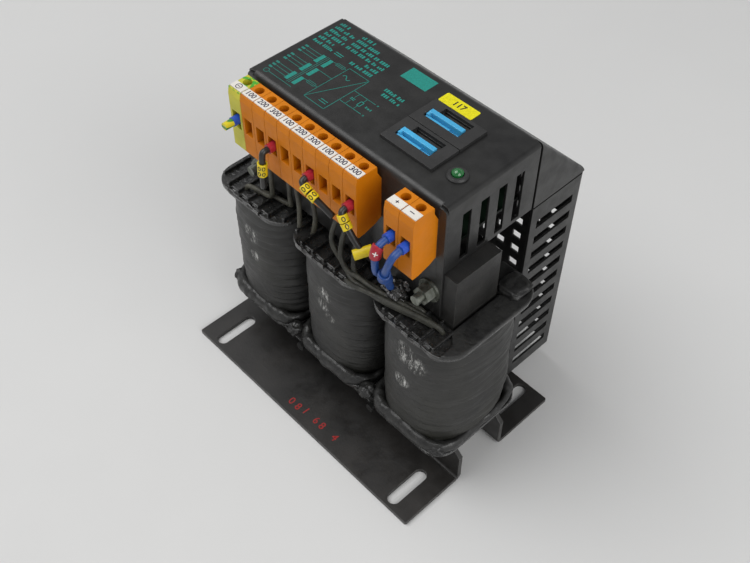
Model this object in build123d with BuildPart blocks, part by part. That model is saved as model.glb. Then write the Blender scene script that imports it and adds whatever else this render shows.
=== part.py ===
"""Open-frame three-phase transformer supply with a terminal strip and a folded guard.

X runs along the row of three coils, Y from the terminals to the guard, Z up.
The origin is on the mounting plane, under the middle of the whole outline.
Sizes are millimetres. Depths (y) are counted from the middle of the core.
"""
from build123d import *
from math import cos, pi, radians, sin, sqrt, tan
import os

os.makedirs("parts", exist_ok=True)

# Core: a three-limb stack of steel sheets, a lower E and an upper bar
limb = 28.0
window = 28.0
window_height = 84.0
stack = 28.0
core_rise = 0.5

# Mounting brackets: two folded angles that clamp the lower yoke
foot_length = 168.0
foot_reach = 54.0
plate = 2.5
web_height = 26.5
web_corner = 7.0
foot_bend = 4.0
foot_corner = 1.5
slot_spacing_x = 140.0
slot_reach = 39.0
slot_length = 24.8
slot_width = 5.4

# Bolts through the yokes
bolt_radius = 2.5
bolt_clearance = 0.3
washer_radius = 6.0
washer_thickness = 1.0
nut_flats = 8.0
nut_height = 4.7
head_height = 3.5
thread_proud = 3.8
lower_bolt_x = 28.0
upper_bolt_x = 56.0

# Bobbins and windings
fit = 0.3
tube_wall = 1.5
flange_gap = 0.6
flange_depth = 66.6
flange_thickness = 2.2
flange_corner = 9.0
rib_pitch = 7.7
rib_width = 1.2
rib_height = 2.0
rib_inset = 2.4
notch_width = 3.6
notch_depth = 3.4
winding_gap = 0.2
flange_hole_radius = 2.6
secondary_width = 39.0
secondary_depth = 44.0
secondary_corner = 12.0
primary_width = 47.0
primary_depth = 54.4
primary_corner = 20.0
wrap_foot = (49.4, 57.2, 21.5)
wrap_middle = (53.0, 62.6, 24.4)
wrap_top = (51.4, 60.4, 23.0)

# Cover: one folded sheet with the box on top and the guard behind the coils
sheet = 1.2
box_width = 125.0
box_back = 42.2
cover_top = 179.4
panel_bottom = 113.4
guard_back = 79.6
guard_bottom = 11.8
front_bend = 3.0
slope_bend = 4.0
side_bend = 2.0
flap_gap = 1.0
flap_rise = 0.6
cover_corner = 3.0
vent_count = 4
vent_pitch = 10.9
vent_start = -2.7
vent_width = 5.2
vent_length = 27.2
vent_drop = 9.1
row_count = 11
row_pitch = 10.5
row_top = 126.7
row_height = 5.0
row_length = 26.0
row_middle = 60.6
hole_count = 11
hole_pitch = 10.3
hole_width = 5.3

# Terminals
pole_pitch = 8.4
pole_count = 9
output_count = 2
strip_left = -58.6
output_left = 41.4
terminal_top = 179.2
terminal_depth = 14.3
terminal_bottom = 145.0
lip_depth = 2.5
entry_width = 5.3
entry_height = 9.2
entry_bottom = 158.0
entry_depth = 11.3
driver_radius = 2.2
driver_back = 6.0
screw_radius = 2.0
screw_length = 4.6
clamp_length = 6.4
clamp_wall = 0.8
clamp_play = 0.15
marker_width = 7.7
marker_depth = 4.5
marker_rise = 0.5
marker_sink = 0.4
marker_inset = 0.5
marker_corner = 1.2
window_inset = 3.0
window_height_pins = 4.0
pole_gap = 0.2
pin_height = 159.6
pin_turn = -9.0
screw_head = 3.0
screw_slot = 0.8
shank_radius = 1.4
socket_depth = 5.0
lead_line = -20.0
lead_places = (-46.0, -27.0, -16.0, 2.0, 7.5, 15.0)

# Fuse holder, fuses, lamp and label on the top
holder_x = 27.6
holder_front = -4.2
holder_width = 30.0
holder_depth = 33.8
holder_rise = 1.6
holder_lip = 2.0
module_gap = 0.4
fuse_x = 26.4
fuse_offset = -0.4
fuse_length = 19.1
fuse_thickness = 5.1
fuse_height = 10.4
fuse_above = 0.6
fuse_window = 9.0
fuse_recess = 1.0
fuse_ledge = 2.6
fuse_round = 0.8
blade_width = 5.2
blade_thickness = 0.7
blade_length = 7.4
blade_spacing = 11.0
clip_length = 6.8
clip_depth = 3.0
clip_drop = 9.0
pocket_length = 20.3
pocket_play = 0.35
recess_x = 28.6
recess_length = 16.5
recess_width = 4.2
recess_deep = 2.6
lamp_x = 51.6
lamp_y = 2.0
lamp_radius = 2.8
lamp_lens_radius = 2.5
lamp_straight = 6.6
lamp_drop = 4.5
leg_spacing = 2.5
leg_width = 0.5
lamp_ring_radius = 4.7
lamp_ring_rise = 1.4
lamp_body_radius = 3.9
label_x = 22.0
label_y = 34.4
label_width = 19.4
label_depth = 6.8
label_thickness = 0.2
label_corner = 0.8

# Board and the parts inside the box
board_left = -57.0
board_right = 57.0
board_front = -11.0
board_back = 38.0
board_thickness = 1.6
spacer_height = 5.5
spacer_radius = 3.5
spacer_x = 45.0
spacer_y = 9.0
capacitor_radius = 12.5
capacitor_height = 27.0
capacitor_x = -11.0
capacitor_y = 16.0
rectifier_x = -42.0
rectifier_y = 14.0
rectifier_width = 28.5
rectifier_height = 10.0
rectifier_bore = 2.3
pin_width = 1.2
pin_spread = 10.5
pin_below = 2.5

# Stub leads in the terminals
wire_radius = 1.5
earth_wire_radius = 1.9
output_wire_radius = 1.7
collar_radius = 2.3
sleeve_wall = 0.9
coil_lead_radius = 1.35
bend_share = 0.45
coil_bend = 9.0
stub_bend = 6.0
output_bend = 12.0
collar_back = -26.2
collar_front = -32.2
tip_back = -19.6
tip_radius = 1.1
earth_stub_length = 4.6
knot_at = (42.4, -23.4, 115.6)
knot_size = (11.0, 6.6, 6.2)
knot_round = 2.6

# Places that follow from the sizes above
coil_pitch = limb + window
core_half = coil_pitch + limb / 2
core_front = -stack / 2
yoke_bottom = core_rise + limb + window_height
core_top = yoke_bottom + limb
lower_bolt_z = core_rise + limb / 2
upper_bolt_z = yoke_bottom + limb / 2
panel_face = core_front - sheet
box_half = box_width / 2
slope_foot = cover_top - (guard_back - box_back)
side_bottom = core_top + flap_rise
core_y = (foot_reach - guard_back) / 2
flange_width = coil_pitch - flange_gap
bobbin_bottom = core_rise + limb + fit
bobbin_top = yoke_bottom - fit
flange_top = bobbin_top - rib_height
coil_low = bobbin_bottom + flange_thickness + winding_gap
coil_high = flange_top - flange_thickness - winding_gap
tube_hole_x = limb + 2 * fit
tube_hole_y = stack + 2 * fit
coil_names = {"left": -coil_pitch, "middle": 0.0, "right": coil_pitch}
strip_half = box_half - 2 * side_bend
cheek_low = slope_foot - 1.5 * flap_gap
flap_low = cheek_low - flap_gap
flap_front = box_back + flap_gap
board_bottom = core_top + spacer_height
board_top = board_bottom + board_thickness
terminal_front = panel_face - terminal_depth
driver_y = panel_face - driver_back
plate_top = cover_top + holder_rise
fuse_floor = plate_top + fuse_above - fuse_height
module_depth = (holder_depth - module_gap) / 2
holder_places = (
    holder_front + module_depth / 2,
    holder_front + module_depth * 1.5 + module_gap,
)
lamp_seat = cover_top - lamp_drop
screw_seat = entry_bottom + entry_height + fit
screw_tip = entry_bottom + entry_height / 2 + tip_radius + fit
lead_end = terminal_bottom + socket_depth - fit

# Lead routes, each from its start to its end, depths from the middle of the core
notch_line = -flange_depth / 2 + 1.6
coil_routes = {
    "left": (
        (-67.6, notch_line, 107.5),
        (-67.4, -30.8, 116),
        (-60, -22.5, 117),
        (-46.6, -20.4, 117),
        (-46, lead_line, 124),
        (-46, lead_line, lead_end),
    ),
    "first": (
        (-19.2, notch_line, 107.5),
        (-19.6, -30.8, 115),
        (-26.6, -21.6, 117),
        (-27, lead_line, 124),
        (-27, lead_line, lead_end),
    ),
    "second": (
        (-11.5, notch_line, 107.5),
        (-11.8, -30.8, 115),
        (-15.9, -21.4, 117),
        (-16, lead_line, 124),
        (-16, lead_line, lead_end),
    ),
    "third": (
        (15, lead_line, lead_end),
        (15, lead_line, 121),
        (11.2, -20.8, 115.5),
        (11, -21, 108.8),
    ),
}
bundle_routes = {
    "low": (
        (2, lead_line, lead_end),
        (2, lead_line, 128),
        (-6.2, -19.8, 115.4),
        (5, -24.2, 114),
        (21, -30.7, 114),
        (30, -28.6, 114),
        (49, -27.4, 114),
        (65.8, -20.2, 114),
        (69.2, -18.7, 108.8),
    ),
    "high": (
        (7.5, lead_line, lead_end),
        (7.5, lead_line, 127),
        (5.4, -26.2, 117.2),
        (20.6, -30.9, 116.9),
        (30, -28.4, 116.9),
        (48.6, -27.2, 116.9),
        (63.8, -20.6, 116.9),
        (70.4, -17.4, 115.6),
        (73.2, -16.6, 108.8),
    ),
    "rear": (
        (25.1, -21.8, 108.8),
        (26.6, -23.6, 114.2),
        (34, -25.6, 114),
        (48.4, -24.5, 114),
        (60, -19.4, 114),
        (63.2, -18.1, 108.8),
    ),
}
flange_holes = {
    "left": (),
    "middle": ((11, -21), (25.2, -21.8)),
    "right": ((63, -18.2), (68.9, -18.8), (72.9, -16.7)),
}

# Planes
def level(z):
    """A horizontal plane at height z, over the middle of the core."""
    return Plane(origin=(0, core_y, z))


def upright(y):
    """A vertical plane that faces the front, y away from the core's middle."""
    return Plane(origin=(0, core_y + y, 0), x_dir=(1, 0, 0), z_dir=(0, -1, 0))


def crosswise(x):
    """A vertical plane that faces the right end, at x."""
    return Plane(origin=(x, core_y, 0), x_dir=(0, 1, 0), z_dir=(1, 0, 0))


def drill(places, radius, y_from, y_to):
    """Cuts round holes along Y between two depths, at places (x, z)."""
    with BuildSketch(upright(y_from)) as holes:
        with Locations(*places):
            Circle(radius)
    extrude(holes.sketch, amount=y_from - y_to, mode=Mode.SUBTRACT)


lower_places = [(-lower_bolt_x, lower_bolt_z), (lower_bolt_x, lower_bolt_z)]
upper_places = [(-upper_bolt_x, upper_bolt_z), (upper_bolt_x, upper_bolt_z)]
bolt_hole = bolt_radius + bolt_clearance

# Lower part of the core, the E with its three limbs
with BuildPart() as core_stack:
    with BuildSketch(upright(0)):
        with Locations((0, core_rise + (limb + window_height) / 2)):
            Rectangle(2 * core_half, limb + window_height)
        with Locations(
            (-coil_pitch / 2, core_rise + limb + window_height / 2),
            (coil_pitch / 2, core_rise + limb + window_height / 2),
        ):
            Rectangle(window, window_height, mode=Mode.SUBTRACT)
    extrude(amount=stack / 2, both=True)
    drill(lower_places, bolt_hole, stack, -stack)
core_stack.part.label = "core_stack"
export_step(core_stack.part, "parts/core_stack.step")

# Upper yoke, the bar that closes the core
with BuildPart() as core_yoke:
    with BuildSketch(upright(0)):
        with Locations((0, upper_bolt_z)):
            Rectangle(2 * core_half, limb)
    extrude(amount=stack / 2, both=True)
    drill(upper_places, bolt_hole, stack, -stack)
core_yoke.part.label = "core_yoke"
export_step(core_yoke.part, "parts/core_yoke.step")

# Front bracket: foot, bend and web, with slots along Y
with BuildPart() as front_bracket:
    with BuildSketch(crosswise(0)) as angle:
        with BuildLine():
            Polyline(
                (-foot_reach, 0),
                (core_front, 0),
                (core_front, web_height),
                (core_front - plate, web_height),
                (core_front - plate, plate),
                (-foot_reach, plate),
                close=True,
            )
        make_face()
        fillet(angle.vertices().sort_by_distance(Vector(core_front, 0, 0))[0], foot_bend)
        inner_corner = Vector(core_front - plate, plate, 0)
        fillet(angle.vertices().sort_by_distance(inner_corner)[0], foot_bend - plate)
    extrude(amount=foot_length / 2, both=True)
    with BuildSketch(level(0)):
        with Locations((-slot_spacing_x / 2, -slot_reach), (slot_spacing_x / 2, -slot_reach)):
            SlotOverall(slot_length, slot_width, rotation=90)
    extrude(amount=plate, mode=Mode.SUBTRACT)
    chamfer(front_bracket.edges().filter_by(Axis.Y).group_by(Axis.Z)[-1], web_corner)
    fillet(front_bracket.edges().filter_by(Axis.Z).group_by(Axis.Y)[0], foot_corner)
    drill(lower_places, bolt_hole, 0, -foot_reach)
front_bracket.part.label = "front_bracket"
export_step(front_bracket.part, "parts/front_bracket.step")

# Rear bracket, the same angle turned round
with BuildPart() as rear_bracket:
    mirror(front_bracket.part, about=upright(0))
rear_bracket.part.label = "rear_bracket"
export_step(rear_bracket.part, "parts/rear_bracket.step")


# Bolts, nuts and washers
def ring(places, y_face, outer, inner, thickness):
    """Washers whose rear face lies at y_face."""
    with BuildSketch(upright(y_face)) as rings:
        with Locations(*places):
            Circle(outer)
            Circle(inner, mode=Mode.SUBTRACT)
    extrude(rings.sketch, amount=thickness)


def hexagons(places, y_face, height, bore):
    """Hexagons towards the front from y_face, with a bore where it isn't zero."""
    with BuildSketch(upright(y_face)) as hexes:
        with Locations(*places):
            RegularPolygon(nut_flats / 2, 6, major_radius=False)
            if bore:
                Circle(bore, mode=Mode.SUBTRACT)
    extrude(hexes.sketch, amount=height)


def bolts(places, y_head, y_tip):
    """Hex bolts: the head behind y_head, the shank from there to y_tip."""
    hexagons(places, y_head + head_height, head_height, 0)
    with BuildSketch(upright(y_head)) as shanks:
        with Locations(*places):
            Circle(bolt_radius)
    extrude(shanks.sketch, amount=y_head - y_tip)


web_face = core_front - plate
lower_nut_face = web_face - washer_thickness
upper_nut_face = panel_face - washer_thickness

with BuildPart() as lower_bolts:
    bolts(lower_places, -lower_nut_face, lower_nut_face - nut_height - thread_proud)
lower_bolts.part.label = "lower_bolts"
export_step(lower_bolts.part, "parts/lower_bolts.step")

with BuildPart() as lower_washers:
    ring(lower_places, web_face, washer_radius, bolt_radius, washer_thickness)
    ring(lower_places, -lower_nut_face, washer_radius, bolt_radius, washer_thickness)
lower_washers.part.label = "lower_washers"
export_step(lower_washers.part, "parts/lower_washers.step")

with BuildPart() as lower_nuts:
    hexagons(lower_places, lower_nut_face, nut_height, bolt_radius)
lower_nuts.part.label = "lower_nuts"
export_step(lower_nuts.part, "parts/lower_nuts.step")

with BuildPart() as upper_bolts:
    bolts(upper_places, -core_front + washer_thickness, upper_nut_face - nut_height - thread_proud)
upper_bolts.part.label = "upper_bolts"
export_step(upper_bolts.part, "parts/upper_bolts.step")

with BuildPart() as upper_washers:
    ring(upper_places, panel_face, washer_radius, bolt_radius, washer_thickness)
    ring(upper_places, -core_front + washer_thickness, washer_radius, bolt_radius, washer_thickness)
upper_washers.part.label = "upper_washers"
export_step(upper_washers.part, "parts/upper_washers.step")

with BuildPart() as upper_nuts:
    hexagons(upper_places, upper_nut_face, nut_height, bolt_radius)
upper_nuts.part.label = "upper_nuts"
export_step(upper_nuts.part, "parts/upper_nuts.step")

# Bobbins: a square tube over the limb, two flanges, ribs and lead notches
rib_places = [(rib_pitch * i, 0) for i in range(-3, 4)]
notch_places = [(rib_pitch * (i + 0.5), -flange_depth / 2) for i in range(-3, 3)]
for name, coil_x in coil_names.items():
    with BuildPart() as bobbin:
        with BuildSketch(level(bobbin_bottom), level(flange_top - flange_thickness)):
            with Locations((coil_x, 0)):
                RectangleRounded(flange_width, flange_depth, flange_corner)
        extrude(amount=flange_thickness)
        with BuildSketch(level(bobbin_bottom)):
            with Locations((coil_x, 0)):
                Rectangle(tube_hole_x + 2 * tube_wall, tube_hole_y + 2 * tube_wall)
        extrude(amount=flange_top - bobbin_bottom)
        with BuildSketch(level(flange_top)):
            with Locations((coil_x, 0)):
                with Locations(*rib_places):
                    Rectangle(rib_width, flange_depth - 2 * rib_inset)
        extrude(amount=rib_height)
        with BuildSketch(level(flange_top - flange_thickness)):
            with Locations((coil_x, 0)):
                with Locations(*notch_places):
                    Rectangle(notch_width, 2 * notch_depth)
        extrude(amount=flange_thickness, mode=Mode.SUBTRACT)
        with BuildSketch(level(bobbin_bottom)):
            with Locations((coil_x, 0)):
                Rectangle(tube_hole_x, tube_hole_y)
        extrude(amount=bobbin_top - bobbin_bottom, mode=Mode.SUBTRACT)
        if flange_holes[name]:
            with BuildSketch(level(flange_top - 2 * flange_thickness)):
                with Locations(*flange_holes[name]):
                    Circle(flange_hole_radius)
            extrude(amount=3 * flange_thickness, mode=Mode.SUBTRACT)
    bobbin.part.label = f"bobbin_{name}"
    export_step(bobbin.part, f"parts/bobbin_{name}.step")

# Windings: secondary inside, primary round it, wrapped tape outside
tube_out_x = tube_hole_x + 2 * tube_wall + 2 * winding_gap
tube_out_y = tube_hole_y + 2 * tube_wall + 2 * winding_gap
for name, coil_x in coil_names.items():
    with BuildPart() as secondary_winding:
        with BuildSketch(level(coil_low)):
            with Locations((coil_x, 0)):
                RectangleRounded(secondary_width, secondary_depth, secondary_corner)
                Rectangle(tube_out_x, tube_out_y, mode=Mode.SUBTRACT)
        extrude(amount=coil_high - coil_low)
    secondary_winding.part.label = f"secondary_winding_{name}"
    export_step(secondary_winding.part, f"parts/secondary_winding_{name}.step")

    with BuildPart() as primary_winding:
        with BuildSketch(level(coil_low)):
            with Locations((coil_x, 0)):
                RectangleRounded(primary_width, primary_depth, primary_corner)
                RectangleRounded(
                    secondary_width + 2 * winding_gap,
                    secondary_depth + 2 * winding_gap,
                    secondary_corner + winding_gap,
                    mode=Mode.SUBTRACT,
                )
        extrude(amount=coil_high - coil_low)
    primary_winding.part.label = f"primary_winding_{name}"
    export_step(primary_winding.part, f"parts/primary_winding_{name}.step")

    wrap_heights = (coil_low, (coil_low + coil_high) / 2, coil_high)
    with BuildPart() as coil_wrap:
        for height, (width, depth, corner) in zip(wrap_heights, (wrap_foot, wrap_middle, wrap_top)):
            with BuildSketch(level(height)):
                with Locations((coil_x, 0)):
                    RectangleRounded(width, depth, corner)
        loft()
        with BuildSketch(level(coil_low)):
            with Locations((coil_x, 0)):
                RectangleRounded(
                    primary_width + 2 * winding_gap,
                    primary_depth + 2 * winding_gap,
                    primary_corner + winding_gap,
                )
        extrude(amount=coil_high - coil_low, mode=Mode.SUBTRACT)
    coil_wrap.part.label = f"coil_wrap_{name}"
    export_step(coil_wrap.part, f"parts/coil_wrap_{name}.step")


# Cover outline, seen from the right end
def cover_points(bottom):
    """Corners of the folded sheet's outline, with its three bends along X."""
    return (
        (panel_face, bottom),
        (panel_face, cover_top),
        (box_back, cover_top),
        (guard_back, slope_foot),
        (guard_back, bottom),
    )


def inner_points(bottom):
    """Corners of the sheet's inside, one thickness in from the outline."""
    turn = sheet * tan(pi / 8)
    return (
        (panel_face + sheet, bottom),
        (panel_face + sheet, cover_top - sheet),
        (box_back - turn, cover_top - sheet),
        (guard_back - sheet, slope_foot - turn),
        (guard_back - sheet, bottom),
    )


def round_cover(sketch):
    """Rounds the three bends of the cover outline."""
    for y, z, radius in (
        (panel_face, cover_top, front_bend),
        (box_back, cover_top, front_bend),
        (guard_back, slope_foot, slope_bend),
    ):
        fillet(sketch.vertices().sort_by_distance(Vector(y, z, 0))[0], radius)


def angle_points(outer, across):
    """Corners of an L of sheet round a bend, its outer corner at (box_half, outer)."""
    return (
        (strip_half, outer),
        (box_half, outer),
        (box_half, outer - across),
        (box_half - sheet, outer - across),
        (box_half - sheet, outer - sheet),
        (strip_half, outer - sheet),
    )


def round_angle(sketch, outer):
    """Rounds the outside and the inside of the bend of angle_points."""
    corner = Vector(box_half, outer, 0)
    fillet(sketch.vertices().sort_by_distance(corner)[0], side_bend)
    inner = Vector(box_half - sheet, outer - sheet, 0)
    fillet(sketch.vertices().sort_by_distance(inner)[0], side_bend - sheet)


# Cheeks: the flaps folded from the sloping part, trimmed to the outline
slope_length = sqrt(2) * (guard_back - box_back)
slope_plane = Plane(
    origin=(0, core_y + guard_back + sheet, slope_foot - sheet),
    x_dir=(1, 0, 0),
    z_dir=(0, -1, 1),
)
with BuildPart() as cheeks:
    with BuildSketch(slope_plane) as cheek_bend:
        with BuildLine():
            Polyline(*angle_points(0, slope_length), close=True)
        make_face()
        round_angle(cheek_bend, 0)
        mirror(about=Plane.YZ)
    extrude(amount=slope_length + 2 * sheet)
    with BuildSketch(crosswise(0)) as cheek_trim:
        with BuildLine():
            Polyline(*cover_points(guard_bottom), close=True)
        make_face()
        round_cover(cheek_trim)
        with Locations((flap_front, cheek_low)):
            Rectangle(
                guard_back, cover_top, align=(Align.MIN, Align.MIN), mode=Mode.INTERSECT
            )
    extrude(amount=box_half, both=True, mode=Mode.INTERSECT)

# Cover: the strip over front, top, slope and back, then its flaps and openings
side_front = panel_face + sheet
with BuildPart() as housing_cover:
    with BuildSketch(crosswise(0)) as strip:
        with BuildLine():
            Polyline(*cover_points(guard_bottom), close=True)
        make_face()
        round_cover(strip)
        with BuildLine():
            Polyline(*inner_points(guard_bottom), close=True)
        make_face(mode=Mode.SUBTRACT)
        with Locations((panel_face, panel_bottom)):
            Rectangle(3 * sheet, panel_bottom, align=(Align.CENTER, Align.MAX), mode=Mode.SUBTRACT)
    extrude(amount=strip_half, both=True)
    with BuildSketch(upright(side_front)) as side_bends:
        with BuildLine():
            Polyline(*angle_points(cover_top, cover_top - side_bottom), close=True)
        make_face()
        round_angle(side_bends, cover_top)
        mirror(about=Plane.YZ)
    extrude(amount=side_front - box_back + flap_rise)
    with BuildSketch(level(guard_bottom)) as guard_bends:
        with BuildLine():
            Polyline(*angle_points(guard_back, guard_back - flap_front), close=True)
        make_face()
        round_angle(guard_bends, guard_back)
        mirror(about=Plane.YZ)
    extrude(amount=flap_low - guard_bottom)
    add(cheeks.part)
    flap_feet = housing_cover.edges().filter_by(Axis.X).filter_by(
        lambda edge: abs(edge.center().Z - guard_bottom) < fit
        and abs(edge.center().Y - core_y - flap_front) < fit
    )
    fillet(flap_feet, cover_corner)
    with BuildSketch(crosswise(0)):
        with Locations((vent_start, cover_top - vent_drop)):
            with Locations(*[(vent_pitch * i, 0) for i in range(vent_count)]):
                Rectangle(vent_width, vent_length, align=(Align.CENTER, Align.MAX))
        with Locations((row_middle, row_top)):
            with Locations(*[(0, -row_pitch * i) for i in range(row_count)]):
                Rectangle(row_length, row_height)
    extrude(amount=box_width, both=True, mode=Mode.SUBTRACT)
    with BuildSketch(upright(guard_back + sheet)):
        with Locations((0, row_top - row_pitch * (row_count - 1) / 2)):
            with GridLocations(hole_pitch, row_pitch, hole_count, row_count):
                Rectangle(hole_width, row_height)
    extrude(amount=3 * sheet, mode=Mode.SUBTRACT)
    drill(upper_places, bolt_hole, core_front, panel_face - sheet)
    with BuildSketch(upright(core_front)):
        for left, count in ((strip_left, pole_count + 1), (output_left, output_count)):
            middle_x = left + pole_pitch * count / 2
            with Locations((middle_x, pin_height)):
                Rectangle(pole_pitch * count - 2 * window_inset, window_height_pins)
    extrude(amount=2 * sheet, mode=Mode.SUBTRACT)
    with BuildSketch(level(cover_top - 2 * sheet)):
        for holder_y in holder_places:
            with Locations((holder_x, holder_y)):
                Rectangle(holder_width - 2 * holder_lip, module_depth - 2 * holder_lip)
        with Locations((lamp_x, lamp_y)):
            Circle(lamp_body_radius + fit / 2)
    extrude(amount=3 * sheet, mode=Mode.SUBTRACT)
housing_cover.part.label = "housing_cover"
export_step(housing_cover.part, "parts/housing_cover.step")

# Terminals: one moulded body for each pole, open at the front, top and foot
body_profile = (
    (panel_face, terminal_bottom + 3.9),
    (panel_face - 3.5, terminal_bottom + 2.1),
    (panel_face - 10.0, terminal_bottom + 0.2),
    (terminal_front + 0.8, terminal_bottom),
    (terminal_front, terminal_bottom + 1.4),
    (terminal_front, terminal_top - 3.4),
    (terminal_front + 0.7, terminal_top),
    (panel_face - lip_depth, terminal_top),
    (panel_face - lip_depth + 0.2, terminal_top - 3.4),
    (panel_face, terminal_top - 7.7),
)
entry_middle = entry_bottom + entry_height / 2
entry_back = terminal_front + entry_depth
marker_y = terminal_front + 0.7 + marker_inset + marker_depth / 2


def terminals(left, count, sockets):
    """Bodies side by side from the left edge; sockets take leads from below."""
    middles = [left + pole_pitch * (i + 0.5) for i in range(count)]
    with BuildSketch(crosswise(0)) as side:
        with BuildLine():
            Polyline(*body_profile, close=True)
        make_face()
    half_width = (pole_pitch - pole_gap) / 2
    with Locations(*[(middle, 0, 0) for middle in middles]):
        body = extrude(side.sketch, amount=half_width, both=True, mode=Mode.PRIVATE)
        add(body)
    with BuildSketch(upright(terminal_front)) as entries:
        with Locations(*[(middle, entry_middle) for middle in middles]):
            Rectangle(entry_width, entry_height)
    extrude(entries.sketch, amount=-entry_depth, mode=Mode.SUBTRACT)
    with BuildSketch(level(entry_bottom + entry_height / 2)) as drivers:
        with Locations(*[(middle, driver_y) for middle in middles]):
            Circle(driver_radius)
    extrude(drivers.sketch, amount=terminal_top - entry_bottom, mode=Mode.SUBTRACT)
    with BuildSketch(level(terminal_top - marker_sink)) as marker_seats:
        with Locations(*[(middle, marker_y) for middle in middles]):
            Rectangle(marker_width, marker_depth)
    extrude(marker_seats.sketch, amount=sheet, mode=Mode.SUBTRACT)
    with BuildSketch(upright(panel_face + fit)) as pin_holes:
        with Locations(*[(middle, pin_height) for middle in middles]):
            Rectangle(pin_width + 2 * clamp_play, pin_width + 2 * clamp_play)
    extrude(pin_holes.sketch, amount=panel_face + fit - entry_back, mode=Mode.SUBTRACT)
    if sockets:
        with BuildSketch(level(terminal_bottom)) as foot_holes:
            with Locations(*[(x, lead_line) for x in sockets]):
                Circle(coil_lead_radius + clamp_play)
        extrude(foot_holes.sketch, amount=socket_depth, mode=Mode.SUBTRACT)


with BuildPart() as earth_terminal:
    terminals(strip_left, 1, [])
earth_terminal.part.label = "earth_terminal"
export_step(earth_terminal.part, "parts/earth_terminal.step")

with BuildPart() as primary_terminals:
    terminals(strip_left + pole_pitch, pole_count, lead_places)
primary_terminals.part.label = "primary_terminals"
export_step(primary_terminals.part, "parts/primary_terminals.step")

with BuildPart() as output_terminals:
    terminals(output_left, output_count, [])
output_terminals.part.label = "output_terminals"
export_step(output_terminals.part, "parts/output_terminals.step")

# Metal parts of the terminals: cages with pins to the board, and screws
poles = [strip_left + pole_pitch * (i + 0.5) for i in range(pole_count + 1)]
poles += [output_left + pole_pitch * (i + 0.5) for i in range(output_count)]
clamp_front = entry_back - clamp_play - clamp_length
clamp_top = entry_bottom + entry_height - clamp_play
with BuildPart() as terminal_clamps:
    with BuildSketch(upright(entry_back - clamp_play)):
        with Locations(*[(x, entry_middle) for x in poles]):
            Rectangle(entry_width - 2 * clamp_play, entry_height - 2 * clamp_play)
            Rectangle(
                entry_width - 2 * clamp_play - 2 * clamp_wall,
                entry_height - 2 * clamp_play - 2 * clamp_wall,
                mode=Mode.SUBTRACT,
            )
    extrude(amount=clamp_length)
    with BuildSketch(upright(pin_turn)):
        with Locations(*[(x, pin_height) for x in poles]):
            Rectangle(pin_width, pin_width)
    extrude(amount=pin_turn - entry_back + clamp_play + clamp_wall)
    with BuildSketch(level(board_bottom - pin_below)):
        with Locations(*[(x, pin_turn + pin_width / 2) for x in poles]):
            Rectangle(pin_width, pin_width)
    extrude(amount=pin_height + pin_width / 2 - board_bottom + pin_below)
    with BuildSketch(level(clamp_top - 2 * clamp_wall)):
        with Locations(*[(x, driver_y) for x in poles]):
            Circle(shank_radius)
    extrude(amount=3 * clamp_wall, mode=Mode.SUBTRACT)
terminal_clamps.part.label = "terminal_clamps"
export_step(terminal_clamps.part, "parts/terminal_clamps.step")

with BuildPart() as terminal_screws:
    with BuildSketch(level(screw_tip)):
        with Locations(*[(x, driver_y) for x in poles]):
            Circle(shank_radius)
    extrude(amount=screw_seat - screw_tip)
    with BuildSketch(level(screw_seat)):
        with Locations(*[(x, driver_y) for x in poles]):
            Circle(screw_radius)
    extrude(amount=screw_head)
    with BuildSketch(level(screw_seat + screw_head - screw_slot)):
        with Locations(*[(x, driver_y) for x in poles]):
            Rectangle(2 * screw_radius, screw_slot)
    extrude(amount=screw_slot, mode=Mode.SUBTRACT)
terminal_screws.part.label = "terminal_screws"
export_step(terminal_screws.part, "parts/terminal_screws.step")

with BuildPart() as terminal_markers:
    with BuildSketch(level(terminal_top - marker_sink)):
        with Locations(*[(x, marker_y) for x in poles]):
            RectangleRounded(marker_width - fit, marker_depth - fit, marker_corner)
    extrude(amount=marker_sink + marker_rise)
terminal_markers.part.label = "terminal_markers"
export_step(terminal_markers.part, "parts/terminal_markers.step")

# Board on spacers that stand on the core
with BuildPart() as circuit_board:
    with BuildSketch(level(board_bottom)):
        with Locations(((board_left + board_right) / 2, (board_front + board_back) / 2)):
            Rectangle(board_right - board_left, board_back - board_front)
        with Locations(*[(x, pin_turn + pin_width / 2) for x in poles]):
            Rectangle(pin_width + fit, pin_width + fit, mode=Mode.SUBTRACT)
        with Locations((rectifier_x, rectifier_y)):
            with GridLocations(2 * pin_spread, 2 * pin_spread, 2, 2):
                Rectangle(pin_width + fit, pin_width + fit, mode=Mode.SUBTRACT)
    extrude(amount=board_thickness)
circuit_board.part.label = "circuit_board"
export_step(circuit_board.part, "parts/circuit_board.step")

with BuildPart() as board_spacers:
    with BuildSketch(level(core_top)):
        with Locations((-spacer_x, spacer_y), (0, spacer_y), (spacer_x, spacer_y)):
            Circle(spacer_radius)
    extrude(amount=spacer_height)
board_spacers.part.label = "board_spacers"
export_step(board_spacers.part, "parts/board_spacers.step")

# Rectifier block with its pins, and the smoothing capacitor
with BuildPart() as rectifier:
    with BuildSketch(level(board_top)):
        with Locations((rectifier_x, rectifier_y)):
            Rectangle(rectifier_width, rectifier_width)
            Circle(rectifier_bore, mode=Mode.SUBTRACT)
    extrude(amount=rectifier_height)
rectifier.part.label = "rectifier"
export_step(rectifier.part, "parts/rectifier.step")

with BuildPart() as rectifier_pins:
    with BuildSketch(level(board_bottom - pin_below)):
        with Locations((rectifier_x, rectifier_y)):
            with GridLocations(2 * pin_spread, 2 * pin_spread, 2, 2):
                Rectangle(pin_width, pin_width)
    extrude(amount=pin_below + board_thickness)
rectifier_pins.part.label = "rectifier_pins"
export_step(rectifier_pins.part, "parts/rectifier_pins.step")

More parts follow.
